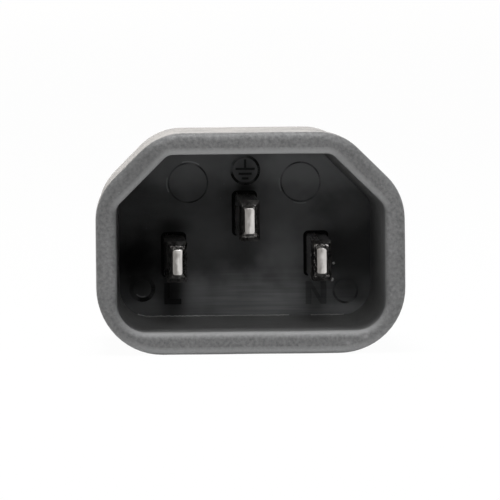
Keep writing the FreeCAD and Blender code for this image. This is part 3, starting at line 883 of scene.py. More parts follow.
@dataclass
class OuterMould:
    """The soft overmould: shroud with its rounded rim, drafted collar, finger grips, tail and neck."""

    rim: Outline = Outline(29.84, 21.42, 6.07, 5.7, 6.4, 0.0)
    block: Outline = Outline(28.5, 20.97, 5.9, 5.7, 6.4, 0.0)
    mouth: Outline = Outline(25.9, 17.16, 5.02, 1.2, 2.9, 2.17)
    floor: Outline = FLOOR
    floor_depth: float = FLOOR_DEPTH
    lip: float = LIP
    flange_back: float = BRIDGE_BACK
    flange_margin: float = FLANGE_MARGIN
    core: Outline = Outline.rounded(20.5, 12.0, 2.5)
    core_back: float = 29.5
    fan_base: Outline = Outline.rounded(15.5, 9.2, 0.1)
    fan_end: Outline = Outline.rounded(10.6, 9.2, 0.1)
    fan_back: float = 35.0
    rim_length: float = 3.0
    draft_end: float = 13.0
    rim_outer_radius: float = 0.75
    rim_inner_radius: float = 0.65
    rim_land: float = 0.03
    tail_start: float = 24.0
    tail_end: float = 36.0
    tail_inset: float = 3.4
    shoulder_radius: float = 8.0
    tail_edge_radius: float = 0.8
    tail_land: float = 0.62
    neck_root: float = 5.8
    neck_end: float = 5.4
    neck_root_radius: float = 0.35
    neck_land: float = 0.01
    neck_edge_radius: float = 0.7
    bore: float = 3.6
    bore_edge_radius: float = 0.35
    grip_start: float = 14.2
    grip_pitch: float = 2.2
    grip_width: float = 1.1
    grip_count: int = 5
    grip_depth: float = 0.6
    grip_height: float = 5.6
    grip_middle: float = 9.50
    grip_soften: float = 0.28
    grip_lead: float = 0.4
    grip_fine: float = 0.11
    flank_margin: float = 0.7
    longest: float = 0.7
    # Painted shade on the hollow's wall, and painted light on the rim's downward edges, along the lower lip
    # and on the lower wall.
    shade_span: Spot = (0.25, 0.9)
    edge_light_share: float = 1.0
    edge_light_power: float = 0.5
    corner_power: int = 4
    lip_light_share: float = 0.75
    wall_light_share: float = 0.6
    wave: float = 0.05
    wave_reach: float = 9.0
    wave_scale: float = 0.16
    wave_slice: float = 3.7
    wave_along: float = 0.6
    wave_seed: int = 3
    steps: Steps = field(default_factory=Steps)

    def skin(self, depth: float) -> Outline:
        """Return the outside's outline at a depth, before the tail is drawn in."""
        share = (depth - self.rim_length) / (self.draft_end - self.rim_length)
        return self.rim.toward(self.block, min(max(share, 0.0), 1.0))

    def hollow(self, depth: float) -> Outline:
        """Return the hollow's outline at a depth."""
        share = (depth - self.rim_length) / (self.floor_depth - self.rim_length)
        return self.mouth.toward(self.floor, min(max(share, 0.0), 1.0))

    def outside(self) -> list[Ring]:
        """Lay rings from the rim's flat over the outside and into the cord entry.

        Returns:
            The rings in order.
        """
        path = rounded_path([
            (0.0, self.rim_outer_radius + self.rim_land, 0.0), (0.0, 0.0, self.rim_outer_radius),
            (self.tail_start, 0.0, self.shoulder_radius),
            (self.tail_end, self.tail_inset, self.tail_edge_radius),
            (self.tail_end, self.tail_inset + self.tail_land, 0.0)])
        grips = (self.grip_start - self.grip_lead, self.grip_start + self.grip_count * self.grip_pitch)
        path = filled_path(path, self.longest, self.grip_fine, grips)
        rings = [self.skin(depth).inset(reach).ring(depth, self.steps) for depth, reach in path]
        neck = rounded_path([
            (self.tail_end, self.neck_root + self.neck_root_radius, 0.0),
            (self.tail_end, self.neck_root, self.neck_root_radius - self.neck_land),
            (BODY_LENGTH, self.neck_end, self.neck_edge_radius),
            (BODY_LENGTH, self.bore, self.bore_edge_radius),
            (self.fan_back, self.bore, 0.0)])
        tail = rings[-1]
        return rings + [round_ring(tail, reach, depth) for depth, reach in filled_path(neck, self.longest)]

    def seats(self) -> list[Ring]:
        """Lay rings from the bottom of the cord entry through the seats of the pieces moulded in.

        Returns:
            The rings in order.
        """
        flange = self.floor.inset(-self.flange_margin)
        lip_back = self.floor_depth + self.lip
        steps = [(self.fan_end, self.fan_back), (self.fan_base, self.core_back), (self.core, self.core_back),
                 (self.core, self.flange_back), (flange, self.flange_back), (flange, lip_back),
                 (self.floor, lip_back)]
        return [outline.ring(depth, self.steps) for outline, depth in steps]

    def wall(self) -> tuple[list[Ring], list[float]]:
        """Lay rings over the hollow's wall, out to the rim's flat.

        Returns:
            The rings in order, and how much painted shade each one has.
        """
        path = rounded_path([
            (self.floor_depth, 0.0, 0.0), (0.0, 0.0, self.rim_inner_radius),
            (0.0, -self.rim_inner_radius - self.rim_land, 0.0)])
        path = filled_path(path, self.longest)
        rings = [self.hollow(depth).inset(reach).ring(depth, self.steps) for depth, reach in path]
        start, end = [share * self.rim_inner_radius for share in self.shade_span]
        return rings, [min(max((depth - start) / (end - start), 0.0), 1.0) for depth, _ in path]

    def sway(self, point: Point) -> Point:
        """Move a point of the soft shroud by the slight waviness that its rim has.

        Args:
            point: the point on the plain form.

        Returns:
            The point where it is drawn.
        """
        x, y, z = point
        fade = max(0.0, 1 - (y - RIM_Y) / self.wave_reach)
        if fade == 0:
            return point
        place = Vector((x * self.wave_scale, self.wave_slice, z * self.wave_scale))
        shift = noise.noise_vector(place) * self.wave * fade
        return (x + shift.x, y + self.wave_along * shift.y, z + shift.z)

    def bloom(self, mesh: bpy.types.Mesh, wall_count: int) -> list[float]:
        """Return how much painted light each point of the skin has.

        It is painted light where the rim's edges face down, a painted highlight along the lower lip, and
        painted light on the lower wall of the hollow that grows towards the floor.

        Args:
            mesh: the skin.
            wall_count: how many of its last points lie on the hollow's wall.

        Returns:
            A share for each point.
        """
        first = len(mesh.vertices) - wall_count
        shares = []
        for index, point in enumerate(mesh.vertices):
            depth, rise = point.co.y / MM - RIM_Y, point.normal.z
            inside = index >= first
            share = 0.0
            if inside and rise > 0 and depth > self.rim_inner_radius:
                share = self.wall_light_share * rise * depth / self.floor_depth
            elif inside and rise > 0:
                share = self.lip_light_share * rise
            elif rise < 0 and depth < self.rim_outer_radius:
                share = self.edge_light_share * (-rise) ** self.edge_light_power
                if not inside:
                    share *= (rise / math.hypot(point.normal.x, rise)) ** self.corner_power
            shares.append(share)
        return shares

    def cut_grips(self, piece: bpy.types.Object) -> None:
        """Press the finger grips into both flanks, by a rule that repeats along the plug.

        Args:
            piece: the overmould, which gets a new mesh.
        """
        tool = Modelled("finger_grips", {
            "Start": ("Float", (RIM_Y + self.grip_start) * MM), "Pitch": ("Float", self.grip_pitch * MM),
            "Width": ("Float", self.grip_width * MM), "Count": ("Float", float(self.grip_count)),
            "Depth": ("Float", self.grip_depth * MM), "Height": ("Float", self.grip_height * MM),
            "Middle": ("Float", self.grip_middle * MM), "Soften": ("Float", self.grip_soften * MM),
            "Flank": ("Float", (self.block.width / 2 - self.flank_margin) * MM),
            "Material": ("Material", SOFT_PVC.material())})
        nodes, given = tool.nodes, tool.given
        place = nodes.add("GeometryNodeInputPosition").outputs[0]
        across, along, up = nodes.add("ShaderNodeSeparateXYZ", {"Vector": place}).outputs
        turn = nodes.math("DIVIDE", nodes.math("SUBTRACT", along, given["Start"]), given["Pitch"])
        count = nodes.math("FLOOR", turn)
        within = nodes.math("MULTIPLY", nodes.math("GREATER_THAN", count, -0.5),
                            nodes.math("LESS_THAN", count, nodes.math("SUBTRACT", given["Count"], 0.5)))
        run = nodes.math("MULTIPLY", nodes.math("FRACT", turn), given["Pitch"])
        start = nodes.remap(run, 0.0, given["Soften"], soft=True)
        end = nodes.remap(run, nodes.math("SUBTRACT", given["Width"], given["Soften"]), given["Width"],
                          1.0, 0.0, soft=True)
        reach = nodes.math("MULTIPLY", given["Height"], 0.5)
        rise = nodes.math("ABSOLUTE", nodes.math("SUBTRACT", up, given["Middle"]))
        tall = nodes.remap(rise, nodes.math("SUBTRACT", reach, given["Soften"]), reach, 1.0, 0.0, soft=True)
        flank = nodes.math("GREATER_THAN", nodes.math("ABSOLUTE", across), given["Flank"])
        groove = nodes.math("MULTIPLY", nodes.math("MULTIPLY", start, end),
                            nodes.math("MULTIPLY", tall, flank))
        groove = nodes.math("MULTIPLY", groove, within)
        push = nodes.math("MULTIPLY", nodes.math("MULTIPLY", groove, given["Depth"]),
                          nodes.math("MULTIPLY", nodes.math("SIGN", across), -1.0))
        shift = nodes.add("ShaderNodeCombineXYZ", {"X": push})
        moved = nodes.add("GeometryNodeSetPosition", {"Geometry": given["Geometry"],
                                                      "Offset": shift.outputs[0]})
        tool.close(moved.outputs[0])
        tool.apply(piece)

    def build(self) -> bpy.types.Object:
        """Build the overmould as one closed skin and press the grips into it.

        Returns:
            The piece.
        """
        plain = self.outside() + self.seats()
        wall, darkness = self.wall()
        points, faces = skin_over(plain + wall, closed=True)
        noise.seed_set(self.wave_seed)
        mesh = mesh_from("outer_mould_skin", [self.sway(point) for point in points], faces)
        # Painted shade on the hollow's wall, and painted light on the rim's downward edges, lower lip and
        # lower wall.
        shades = [dark for dark in [0.0] * len(plain) + darkness for _ in wall[0]]
        set_shares(mesh, PAINTED_SHADE, shades)
        set_shares(mesh, PAINTED_LIGHT, self.bloom(mesh, len(wall) * len(wall[0])))
        piece = new_piece("outer_mould_skin", mesh)
        self.cut_grips(piece)
        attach(piece, "root")
        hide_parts("outer_mould")
        return piece


@dataclass(frozen=True)
class FloorMark:
    """A mark of the floor, sunk with painted shade or level with a painted highlight: one loop, with an inner
    loop where it is a ring.
    """

    outer: tuple[Spot, ...]
    inner: tuple[Spot, ...]
    depth: float
    # dark is the painted shade in a sunk mark; pale is the painted highlight of a glint.
    dark: float
    pale: float = 0.0
    fade: float = 0.0

    @classmethod
    def ring(cls, centre: Spot, radius: float, line: float, depth: float, dark: float,
             fade: float = 0.0) -> "FloorMark":
        """Return a ring-shaped groove with painted shade, which may fade towards the top."""
        return cls(disc(centre, radius), disc(centre, radius - line), depth, dark, fade=fade)

    @classmethod
    def strokes(cls, centre: Spot, shape: Sequence[Spot], depth: float, dark: float) -> "FloorMark":
        """Return a mark from a loop given about its own centre."""
        return cls(tuple((centre[0] + x, centre[1] + z) for x, z in shape), (), depth, dark)

    @classmethod
    def glint(cls, centre: Spot, radius: float, line: float, span: Spot, pale: float) -> "FloorMark":
        """Make a painted highlight: a bright arc beside a ring, level with the floor.

        Args:
            centre: the ring's centre.
            radius: the arc's outer radius.
            line: its width.
            span: the angles in degrees between which it runs.
            pale: how strong the painted highlight is.

        Returns:
            The mark.
        """
        count = 10
        turns = [math.radians(span[0] + (span[1] - span[0]) * index / count) for index in range(count + 1)]
        ends = [(radius, turn) for turn in turns] + [(radius - line, turn) for turn in reversed(turns)]
        return cls(tuple(on_circle(centre, reach, turn) for reach, turn in ends), (), 0.0, 0.0, pale)

    def painted_shade_at(self, spot: Spot) -> float:
        """Work out how much painted shade the mark has at a place: a ring's shade varies along its way and
        may fade towards its top.

        Args:
            spot: the place.

        Returns:
            The painted shade.
        """
        if not self.inner:
            return self.dark
        scale, layer, strength = 0.9, 4.2, 2.0
        faintest, darkest = 0.15, 2.0
        drift = noise.noise(Vector((spot[0] * scale, spot[1] * scale, layer)))
        heights = [height for _, height in self.outer]
        rise = (spot[1] - min(heights)) / (max(heights) - min(heights))
        unevenness = min(max(1.0 + strength * drift, faintest), darkest)
        return self.dark * unevenness * (1.0 - self.fade * rise)


def disc(centre: Spot, radius: float, count: int = 48) -> tuple[Spot, ...]:
    """Return the points of a circle, counter-clockwise."""
    return tuple(on_circle(centre, radius, math.tau * index / count) for index in range(count))


def bar(x: float, z: float, width: float, height: float) -> list[Spot]:
    """Return the corners of a bar about its middle."""
    half, rise = width / 2, height / 2
    return [(x - half, z - rise), (x + half, z - rise), (x + half, z + rise), (x - half, z + rise)]


@dataclass
class Shell:
    """A closed mesh in the making: points found again by a key, and faces with their painted shade and
    painted light.
    """

    points: list[Point] = field(default_factory=list)
    faces: list[list[int]] = field(default_factory=list)
    shades: list[float] = field(default_factory=list)
    painted_lights: list[float] = field(default_factory=list)
    known: dict[tuple[Any, ...], int] = field(default_factory=dict)

    def place(self, key: tuple[Any, ...], x: float, depth: float, z: float) -> int:
        """Find a point by its key, or make it where it isn't known yet.

        Args:
            key: what the point belongs to.
            x: its X.
            depth: its depth behind the rim.
            z: its height.

        Returns:
            Its number.
        """
        if key not in self.known:
            self.known[key] = len(self.points)
            self.points.append((x, depth + RIM_Y, z))
        return self.known[key]

    def add(self, corners: list[int], shade: float = 0.0, bloom: float = 0.0) -> None:
        """Add a face.

        Args:
            corners: its points by number.
            shade: how much painted shade it has.
            bloom: how much painted light it has.
        """
        self.faces.append(corners)
        self.shades.append(shade)
        self.painted_lights.append(bloom)

    def span(self, rows: Sequence[Sequence[int]], shade: float) -> None:
        """Join each loop of points to the next one by quads.

        Args:
            rows: the loops, all of the same length.
            shade: how much painted shade the quads have.
        """
        for near, rear in zip(rows, rows[1:]):
            for index in range(len(near)):
                after = (index + 1) % len(near)
                self.add([near[index], near[after], rear[after], rear[index]], shade)


@dataclass
class PinBridge:
    """The hard insert: the floor of the shroud with its marks, and the flange held in the overmould."""

    floor: Outline = FLOOR
    front: float = FLOOR_DEPTH
    lip_back: float = FLOOR_DEPTH + LIP
    back: float = BRIDGE_BACK
    flange_margin: float = FLANGE_MARGIN
    recess: Spot = (2.5, 4.5)
    recess_radius: float = 0.5
    recess_depth: float = 0.8
    slot: Spot = (2.02, 4.02)
    slot_radius: float = 0.26
    pins: tuple[Spot, ...] = tuple(PIN_SPOTS.values())
    # The darkness of each sunk mark below is painted shade; the glints are painted highlights.
    earth_mark: Spot = (0.1, 17.0)
    earth_ring: Spot = (1.48, 0.26)
    earth_bars: tuple[tuple[float, float, float, float], ...] = (
        (0.0, 0.60, 0.24, 0.92), (0.0, 0.12, 1.90, 0.22), (0.0, -0.36, 1.30, 0.22), (0.0, -0.82, 0.66, 0.22))
    earth_depth: float = 0.2
    earth_ring_dark: float = 0.85
    earth_bar_dark: float = 0.75
    ejector_marks: tuple[Spot, ...] = ((-5.53, 15.8), (5.53, 15.8))
    ejector_ring: Spot = (2.0, 0.16)
    ejector_depth: float = 0.10
    ejector_dark: float = 0.4
    round_marks: tuple[tuple[Spot, float, float], ...] = (
        ((-10.11, 5.42), 0.40, 1.0), ((9.86, 5.05), 0.22, 0.8))
    round_radius: float = 1.28
    round_depth: float = 0.12
    round_fade: float = 1.0
    glints: tuple[tuple[Spot, float, Spot, float], ...] = (
        (ejector_marks[0], 2.16, (58.0, 106.0), 0.9), (ejector_marks[0], 2.16, (165.0, 205.0), 0.4),
        (ejector_marks[1], 2.16, (170.0, 205.0), 0.4), (ejector_marks[1], 2.16, (250.0, 285.0), 0.4),
        (round_marks[0][0], 0.84, (222.0, 292.0), 0.42))
    glint_line: float = 0.13
    line_letter: Spot = (-7.12, 4.9)
    line_size: Spot = (0.84, 1.05)
    line_dark: float = 0.75
    neutral_letter: Spot = (6.96, 4.88)
    neutral_size: Spot = (1.02, 1.14)
    neutral_dark: float = 0.32
    neutral_slope: float = 1.3
    letter_depth: float = 0.25
    stroke: float = 0.56
    steps: Steps = field(default_factory=lambda: Steps(12, 10, 8, 5, 5, 12))
    slot_steps: Steps = field(default_factory=lambda: Steps(3, 5, 4, 3, 1, 3))

    def marks(self) -> list[FloorMark]:
        """List the marks of the floor, with painted shade in the sunk ones: earth symbol, ejector rings,
        glints as painted highlights, round marks and letters.

        Returns:
            The marks.
        """
        found = [FloorMark.ring(self.earth_mark, *self.earth_ring, self.earth_depth, self.earth_ring_dark)]
        found += [FloorMark.strokes(self.earth_mark, bar(*size), self.earth_depth, self.earth_bar_dark)
                  for size in self.earth_bars]
        found += [FloorMark.ring(spot, *self.ejector_ring, self.ejector_depth, self.ejector_dark)
                  for spot in self.ejector_marks]
        found += [FloorMark.glint(spot, radius, self.glint_line, span, pale)
                  for spot, radius, span, pale in self.glints]
        found += [FloorMark.ring(spot, self.round_radius, line, self.round_depth, dark, self.round_fade)
                  for spot, line, dark in self.round_marks]
        for spot, shape, dark in ((self.line_letter, self.letter_l(), self.line_dark),
                                  (self.neutral_letter, self.letter_n(), self.neutral_dark)):
            found.append(FloorMark.strokes(spot, shape, self.letter_depth, dark))
        return found

    def letter_l(self) -> list[Spot]:
        """Draw the letter that marks the line contact, about its middle.

        Returns:
            Its corners.
        """
        half, rise, wide = *self.line_size, self.stroke
        return [(-half, -rise), (half, -rise), (half, wide - rise), (wide - half, wide - rise),
                (wide - half, rise), (-half, rise)]

    def letter_n(self) -> list[Spot]:
        """Draw the letter that marks the neutral contact, about its middle.

        Returns:
            Its corners.
        """
        half, rise, wide = *self.neutral_size, self.stroke
        slope = self.neutral_slope * wide
        return [(-half, -rise), (wide - half, -rise), (wide - half, rise - slope), (half - wide, -rise),
                (half, -rise), (half, rise), (half - wide, rise), (half - wide, slope - rise),
                (wide - half, rise), (-half, rise)]

    def plate(self, border: Sequence[Spot], slots: Sequence[Sequence[Spot]],
              marks: Sequence[FloorMark]) -> tuple[list[Spot], list[tuple[Any, ...]], list[list[int]]]:
        """Cut a flat face into triangles, with the slots left open and a level for each mark.

        Args:
            border: the face's outline.
            slots: the outlines of its openings.
            marks: the marks sunk into it.

        Returns:
            Its points, its triangles with their level, painted shade and painted highlight, and the points of
            the border and slots.
        """
        loops = [list(border), *[list(slot) for slot in slots]]
        owners: list[int | None] = [None] * len(loops)
        for index, mark in enumerate(marks):
            for loop in filter(None, (mark.outer, mark.inner)):
                loops.append(list(loop))
                owners.append(index)
        given = [Vector(spot) for loop in loops for spot in loop]
        numbers, start = [], 0
        for loop in loops:
            numbers.append(list(range(start, start + len(loop))))
            start += len(loop)
        inside_only, tolerance = 1, 1e-5
        spots, _, faces, sources, _, within = delaunay_2d_cdt(given, [], numbers, inside_only, tolerance)
        where = {old: new for new, old_ones in enumerate(sources) for old in old_ones}
        triangles = []
        for face, parts in zip(faces, within):
            if any(1 <= part <= len(slots) for part in parts):
                continue
            counts: dict[int, int] = {}
            for part in parts:
                if owners[part] is not None:
                    counts[owners[part]] = counts.get(owners[part], 0) + 1
            centre = sum((spots[spot] for spot in face), Vector((0.0, 0.0))) / len(face)
            look = max([(marks[index].depth, marks[index].painted_shade_at(centre), marks[index].pale)
                        for index, times in counts.items() if times == 1], default=(0.0, 0.0, 0.0))
            triangles.append((face, *look))
        rims = [[where[number] for number in numbers[index]] for index in range(len(slots) + 1)]
        return [(spot.x, spot.y) for spot in spots], triangles, rims

    def front_face(self, shell: Shell, recesses: Sequence[Sequence[Spot]]) -> list[list[int]]:
        """Lay the floor with its sunk marks, their painted shade, the painted highlights, and the small walls
        round them.

        Args:
            shell: the mesh to add to.
            recesses: the outlines of the openings.

        Returns:
            The points round the border, then round each opening.
        """
        spots, triangles, rims = self.plate(self.floor.spots(self.steps), recesses, self.marks())
        levels: dict[frozenset[int], list[float]] = {}
        # Each triangle keeps its mark's painted shade and painted highlight.
        for face, level, dark, pale in triangles:
            shell.add([shell.place(("front", spot, level), spots[spot][0], self.front + level, spots[spot][1])
                       for spot in face], dark, pale)
            for first, second in zip(face, [*face[1:], face[0]]):
                levels.setdefault(frozenset((first, second)), []).append(level)
        for edge, found in levels.items():
            if len(set(found)) == 2:
                first, second = edge
                shell.add([shell.known[("front", spot, level)]
                           for spot, level in ((first, found[0]), (second, found[0]),
                                               (second, found[1]), (first, found[1]))])
        return [[shell.known[("front", spot, 0.0)] for spot in rim] for rim in rims]

    def back_face(self, shell: Shell, border: Sequence[Spot],
                  openings: Sequence[Sequence[Spot]]) -> list[list[int]]:
        """Lay the plain back of the insert.

        Args:
            shell: the mesh to add to.
            border: the flange's outline.
            openings: the outlines of the slots.

        Returns:
            The points round the border, then round each slot.
        """
        spots, triangles, rims = self.plate(border, openings, [])
        for face, *_ in triangles:
            shell.add([shell.place(("back", spot), spots[spot][0], self.back, spots[spot][1])
                       for spot in face])
        return [[shell.known[("back", spot)] for spot in rim] for rim in rims]

    def build(self) -> bpy.types.Object:
        """Build the insert as one closed mesh.

        Returns:
            The piece.
        """
        shell = Shell()
        recesses, openings = [
            [Outline.rounded(*size, radius, z, x).spots(self.slot_steps) for x, z in self.pins]
            for size, radius in ((self.recess, self.recess_radius), (self.slot, self.slot_radius))]
        border = self.floor.inset(-self.flange_margin).spots(self.steps)
        front = self.front_face(shell, recesses)
        back = self.back_face(shell, border, openings)
        steps = [[shell.place((name, index), x, self.lip_back, z) for index, (x, z) in enumerate(loop)]
                 for name, loop in (("lip", self.floor.spots(self.steps)), ("flange", border))]
        shell.span([front[0], *steps, back[0]], shade=0.0)
        sunk = self.front + self.recess_depth
        for number, loops in enumerate(zip(recesses, openings)):
            rows = [[shell.place((name, number, index), x, sunk, z) for index, (x, z) in enumerate(loop)]
                    for name, loop in zip(("recess", "slot"), loops)]
            # Painted shade: the recesses and slots round each pin are painted fully dark.
            shell.span([front[number + 1], *rows, back[number + 1]], shade=1.0)
        mesh = mesh_from("pin_bridge_floor", shell.points, shell.faces)
        set_shares(mesh, PAINTED_SHADE, shell.shades, "FACE")
        set_shares(mesh, PAINTED_LIGHT, shell.painted_lights, "FACE")
        piece = new_piece("pin_bridge_floor", mesh, smooth_below=20.0)
        piece.data.materials.append(BRIDGE_PLASTIC.material())
        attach(piece, "root")
        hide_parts("pin_bridge")
        return piece


@dataclass
class ContactPin:
    """A contact pin: bevelled tip, flat blade, collar behind the insert and crimp barrel."""

    contact: Contact
    centre: float
    middle: float
    reach: float
    burr: float
    floor_depth: float = FLOOR_DEPTH
    bridge_back: float = BRIDGE_BACK
    blade: Spot = (2.0, 4.0)
    tip: Spot = (0.90, 2.42)
    tip_length: float = 1.1
    tip_land: float = 0.3
    bulge: Spot = (0.4, 0.52)
    edge_radius: float = 0.25
    bevel_soften: float = 0.16
    bevel_steps: int = 5
    longest: float = 1.0
    burr_rise: float = 5.0
    burr_fall: float = 8.0
    burr_clear: float = 0.1
    collar_margin: float = 0.6
    collar_thickness: float = 1.2
    barrel_radius: float = 1.7
    barrel_bore: float = 1.15
    barrel_length: float = 6.0
    steps: Steps = field(default_factory=lambda: Steps(6, 6, 10, 4, 1, 6))

    def outline(self, size: Spot) -> Outline:
        """Return a rounded outline of a size about the pin's own axis."""
        return Outline.rounded(*size, self.edge_radius, self.middle, self.centre)

    def build(self) -> bpy.types.Object:
        """Build the pin as one closed mesh and dress it in nickel plate.

        Returns:
            The piece.
        """
        tip, blade = self.outline(self.tip), self.outline(self.blade)
        collar = blade.inset(-self.collar_margin)
        start = self.floor_depth - self.reach
        soften = self.bevel_soften
        bulge = (start + self.bulge[0] * self.tip_length, self.bulge[1])
        path = rounded_path([
            (start, -self.tip_land, 0.0), (start, 0.0, soften), (*bulge, soften),
            (start + self.tip_length, 1.0, soften), (self.bridge_back, 1.0, 0.0)], self.bevel_steps)
        path = filled_path(path, self.longest)
        rings = [tip.toward(blade, share).ring(depth, self.steps) for depth, share in path]
        burrs = [self.burr * min(max(self.burr_rise * share, 0.0), 1.0)
                 * min(max(self.burr_fall * (1 - share) - self.burr_clear, 0.0), 1.0) for _, share in path]
        collar_back = self.bridge_back + self.collar_thickness
        barrel_back = collar_back + self.barrel_length
        rings += [collar.ring(self.bridge_back, self.steps), collar.ring(collar_back, self.steps)]
        for radius, depth in ((self.barrel_radius, collar_back), (self.barrel_radius, barrel_back),
                              (self.barrel_bore, barrel_back), (self.barrel_bore, collar_back)):
            rings.append(round_ring(rings[-1], radius, depth, self.centre, self.middle))
        name = f"{self.contact.value}_blade"
        points, faces = skin_over(rings, closed=False)
        mesh = mesh_from(name, points, faces)
        burrs += [0.0] * (len(rings) - len(burrs))
        set_shares(mesh, BURR, [burr for burr in burrs for _ in rings[0]])
        piece = new_piece(name, mesh, smooth_below=40.0)
        piece.data.materials.append(NICKEL.material())
        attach(piece, "root")
        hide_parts(self.contact.value)
        return piece


@dataclass
class InnerMould:
    """The insulating block round the crimps, seen only at the bottom of the cord entry."""

    node: str = "inner_mould"

    def dress(self) -> bpy.types.Object:
        """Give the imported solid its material.

        Returns:
            The solid's object.
        """
        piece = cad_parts[self.node]
        for slot in piece.material_slots:
            slot.material = CORE_PLASTIC.material()
        return piece


@dataclass
class MouldFlash:
    """Thin ragged flash and crumbs of soft plastic in the corner between the floor and the lower wall."""

    floor: Outline = FLOOR
    depth: float = 16.97
    inset: float = 0.05
    band: float = 2.0
    ends: tuple[Spot, ...] = ((-10.6, 4.4), (6.4, 9.8))
    step: float = 0.12
    thickness: float = 0.045
    sides: int = 5
    swell_scale: float = 560.0
    swell_range: Spot = (0.46, 0.68)
    swell_most: float = 1.5
    jitter: float = 0.03
    jitter_low: float = -0.4
    crumb: float = 0.07
    crumb_step: float = 0.55
    crumb_sizes: Spot = (0.3, 1.2)
    seed: int = 7
    steps: Steps = field(default_factory=lambda: Steps(120, 24, 2, 2, 2, 2))

    def runs(self) -> tuple[list[Point], list[tuple[int, int]]]:
        """Find where flash is left along the floor's lower border.

        Returns:
            The points and the edges of its runs.
        """
        spots = self.floor.inset(self.inset).spots(self.steps)
        top = self.floor.bottom + self.band
        low = sorted((spot for spot in spots if spot[1] < top), key=lambda spot: spot[0])
        points: list[Point] = []
        edges: list[tuple[int, int]] = []
        for start, end in self.ends:
            chosen = [spot for spot in low if start <= spot[0] <= end]
            first = len(points)
            points += [(x, self.depth + RIM_Y, z) for x, z in chosen]
            edges += [(index, index + 1) for index in range(first, len(points) - 1)]
        return points, edges

    def ragged(self, tool: Modelled) -> bpy.types.NodeSocket:
        """Draw the runs as curves with ragged points.

        Args:
            tool: the tree to add to.

        Returns:
            The socket with the curves.
        """
        nodes, given = tool.nodes, tool.given
        curve = nodes.add("GeometryNodeMeshToCurve", {"Mesh": given["Geometry"]})
        even = nodes.add("GeometryNodeResampleCurve", {"Curve": curve.outputs[0], "Length": self.step * MM},
                         mode="LENGTH")
        offset = nodes.add("FunctionNodeRandomValue", data_type="FLOAT_VECTOR")
        spread = nodes.add("ShaderNodeCombineXYZ", {"Y": given["Jitter"], "Z": given["Jitter"]})
        lowest = nodes.add("ShaderNodeVectorMath", {0: spread.outputs[0], "Scale": self.jitter_low},
                           operation="SCALE")
        nodes.feed(offset.inputs[0], lowest.outputs[0])
        nodes.feed(offset.inputs[1], spread.outputs[0])
        nodes.feed(next(item for item in offset.inputs if item.name == "Seed"), given["Seed"])
        return nodes.add("GeometryNodeSetPosition", {"Geometry": even.outputs[0],
                                                     "Offset": offset.outputs[0]}).outputs[0]

    def strip(self, tool: Modelled, curves: bpy.types.NodeSocket) -> bpy.types.NodeSocket:
        """Grow the flash along the curves, thicker in some places and gone in others.

        Args:
            tool: the tree to add to.
            curves: the ragged curves.

        Returns:
            The socket with the mesh.
        """
        nodes = tool.nodes
        patchy = nodes.add("ShaderNodeTexNoise", {"Scale": self.swell_scale, "Detail": 4.0, "Roughness": 0.7})
        swell = nodes.remap(patchy.outputs[0], *self.swell_range, 0.0, self.swell_most)
        uneven = nodes.add("GeometryNodeSetCurveRadius", {"Curve": curves, "Radius": swell})
        profile = nodes.add("GeometryNodeCurvePrimitiveCircle", {"Resolution": self.sides,
                                                                 "Radius": tool.given["Thickness"]})
        return nodes.add("GeometryNodeCurveToMesh", {"Curve": uneven.outputs[0],
                                                     "Profile Curve": profile.outputs[0],
                                                     "Fill Caps": True}).outputs[0]

    def crumbs(self, tool: Modelled, curves: bpy.types.NodeSocket) -> bpy.types.NodeSocket:
        """Scatter crumbs of many sizes along the curves.

        Args:
            tool: the tree to add to.
            curves: the ragged curves.

        Returns:
            The socket with the instances.
        """
        nodes = tool.nodes
        ball = nodes.add("GeometryNodeMeshIcoSphere", {"Radius": tool.given["Crumb"], "Subdivisions": 1})
        size = nodes.add("FunctionNodeRandomValue", data_type="FLOAT")
        numbers = [item for item in size.inputs if item.type == "VALUE" and item.enabled]
        for socket, share in zip(numbers, self.crumb_sizes):
            nodes.feed(socket, share)
        sizes = next(item for item in size.outputs if item.enabled)
        dots = nodes.add("GeometryNodeCurveToPoints", {"Curve": curves, "Length": self.crumb_step * MM},
                         mode="LENGTH")
        return nodes.add("GeometryNodeInstanceOnPoints", {"Points": dots.outputs[0], "Scale": sizes,
                                                          "Instance": ball.outputs[0]}).outputs[0]

    def build(self) -> bpy.types.Object:
        """Grow the flash along its runs and scatter crumbs beside it.

        Returns:
            The piece.
        """
        points, edges = self.runs()
        mesh = bpy.data.meshes.new("mould_flash")
        mesh.from_pydata([Vector(point) * MM for point in points], edges, [])
        piece = new_object("mould_flash", mesh)
        tool = Modelled("ragged_flash", {
            "Thickness": ("Float", self.thickness * MM), "Jitter": ("Float", self.jitter * MM),
            "Crumb": ("Float", self.crumb * MM), "Seed": ("Int", self.seed),
            "Material": ("Material", FLASH_PVC.material())})
        curves = self.ragged(tool)
        both = tool.nodes.add("GeometryNodeJoinGeometry")
        for shape in (self.crumbs(tool, curves), self.strip(tool, curves)):
            tool.nodes.feed(both.inputs[0], shape)
        tool.close(both.outputs[0])
        tool.apply(piece).shade_smooth()
        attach(piece, "root")
        return piece


@dataclass
class FloorSpecks:
    """Pale crumbs of plastic left on the floor beside the neutral pin, their pale grey partly a painted
    highlight.
    """

    spots: tuple[Point, ...] = ((8.72, 7.76, 0.14), (8.56, 6.16, 0.18))
    depth: float = 16.96

    def build(self) -> bpy.types.Object:
        """Set the crumbs down as one mesh.

        Returns:
            The piece.
        """
        work = bmesh.new()
        for x, z, radius in self.spots:
            place = Matrix.Translation(Vector((x, self.depth + RIM_Y, z)) * MM)
            bmesh.ops.create_icosphere(work, subdivisions=2, radius=radius * MM, matrix=place)
        mesh = bpy.data.meshes.new("floor_specks")
        work.to_mesh(mesh)
        work.free()
        piece = new_piece("floor_specks", mesh, smooth_below=60.0)
        mesh.materials.append(PALE_CRUMB.material())
        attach(piece, "root")
        return piece


# Studio

@dataclass(frozen=True)
class Lamp:
    """A soft area lamp aimed at the plug."""

    name: str
    place: Point
    size: float
    power: float
    warmth: float = 0.0


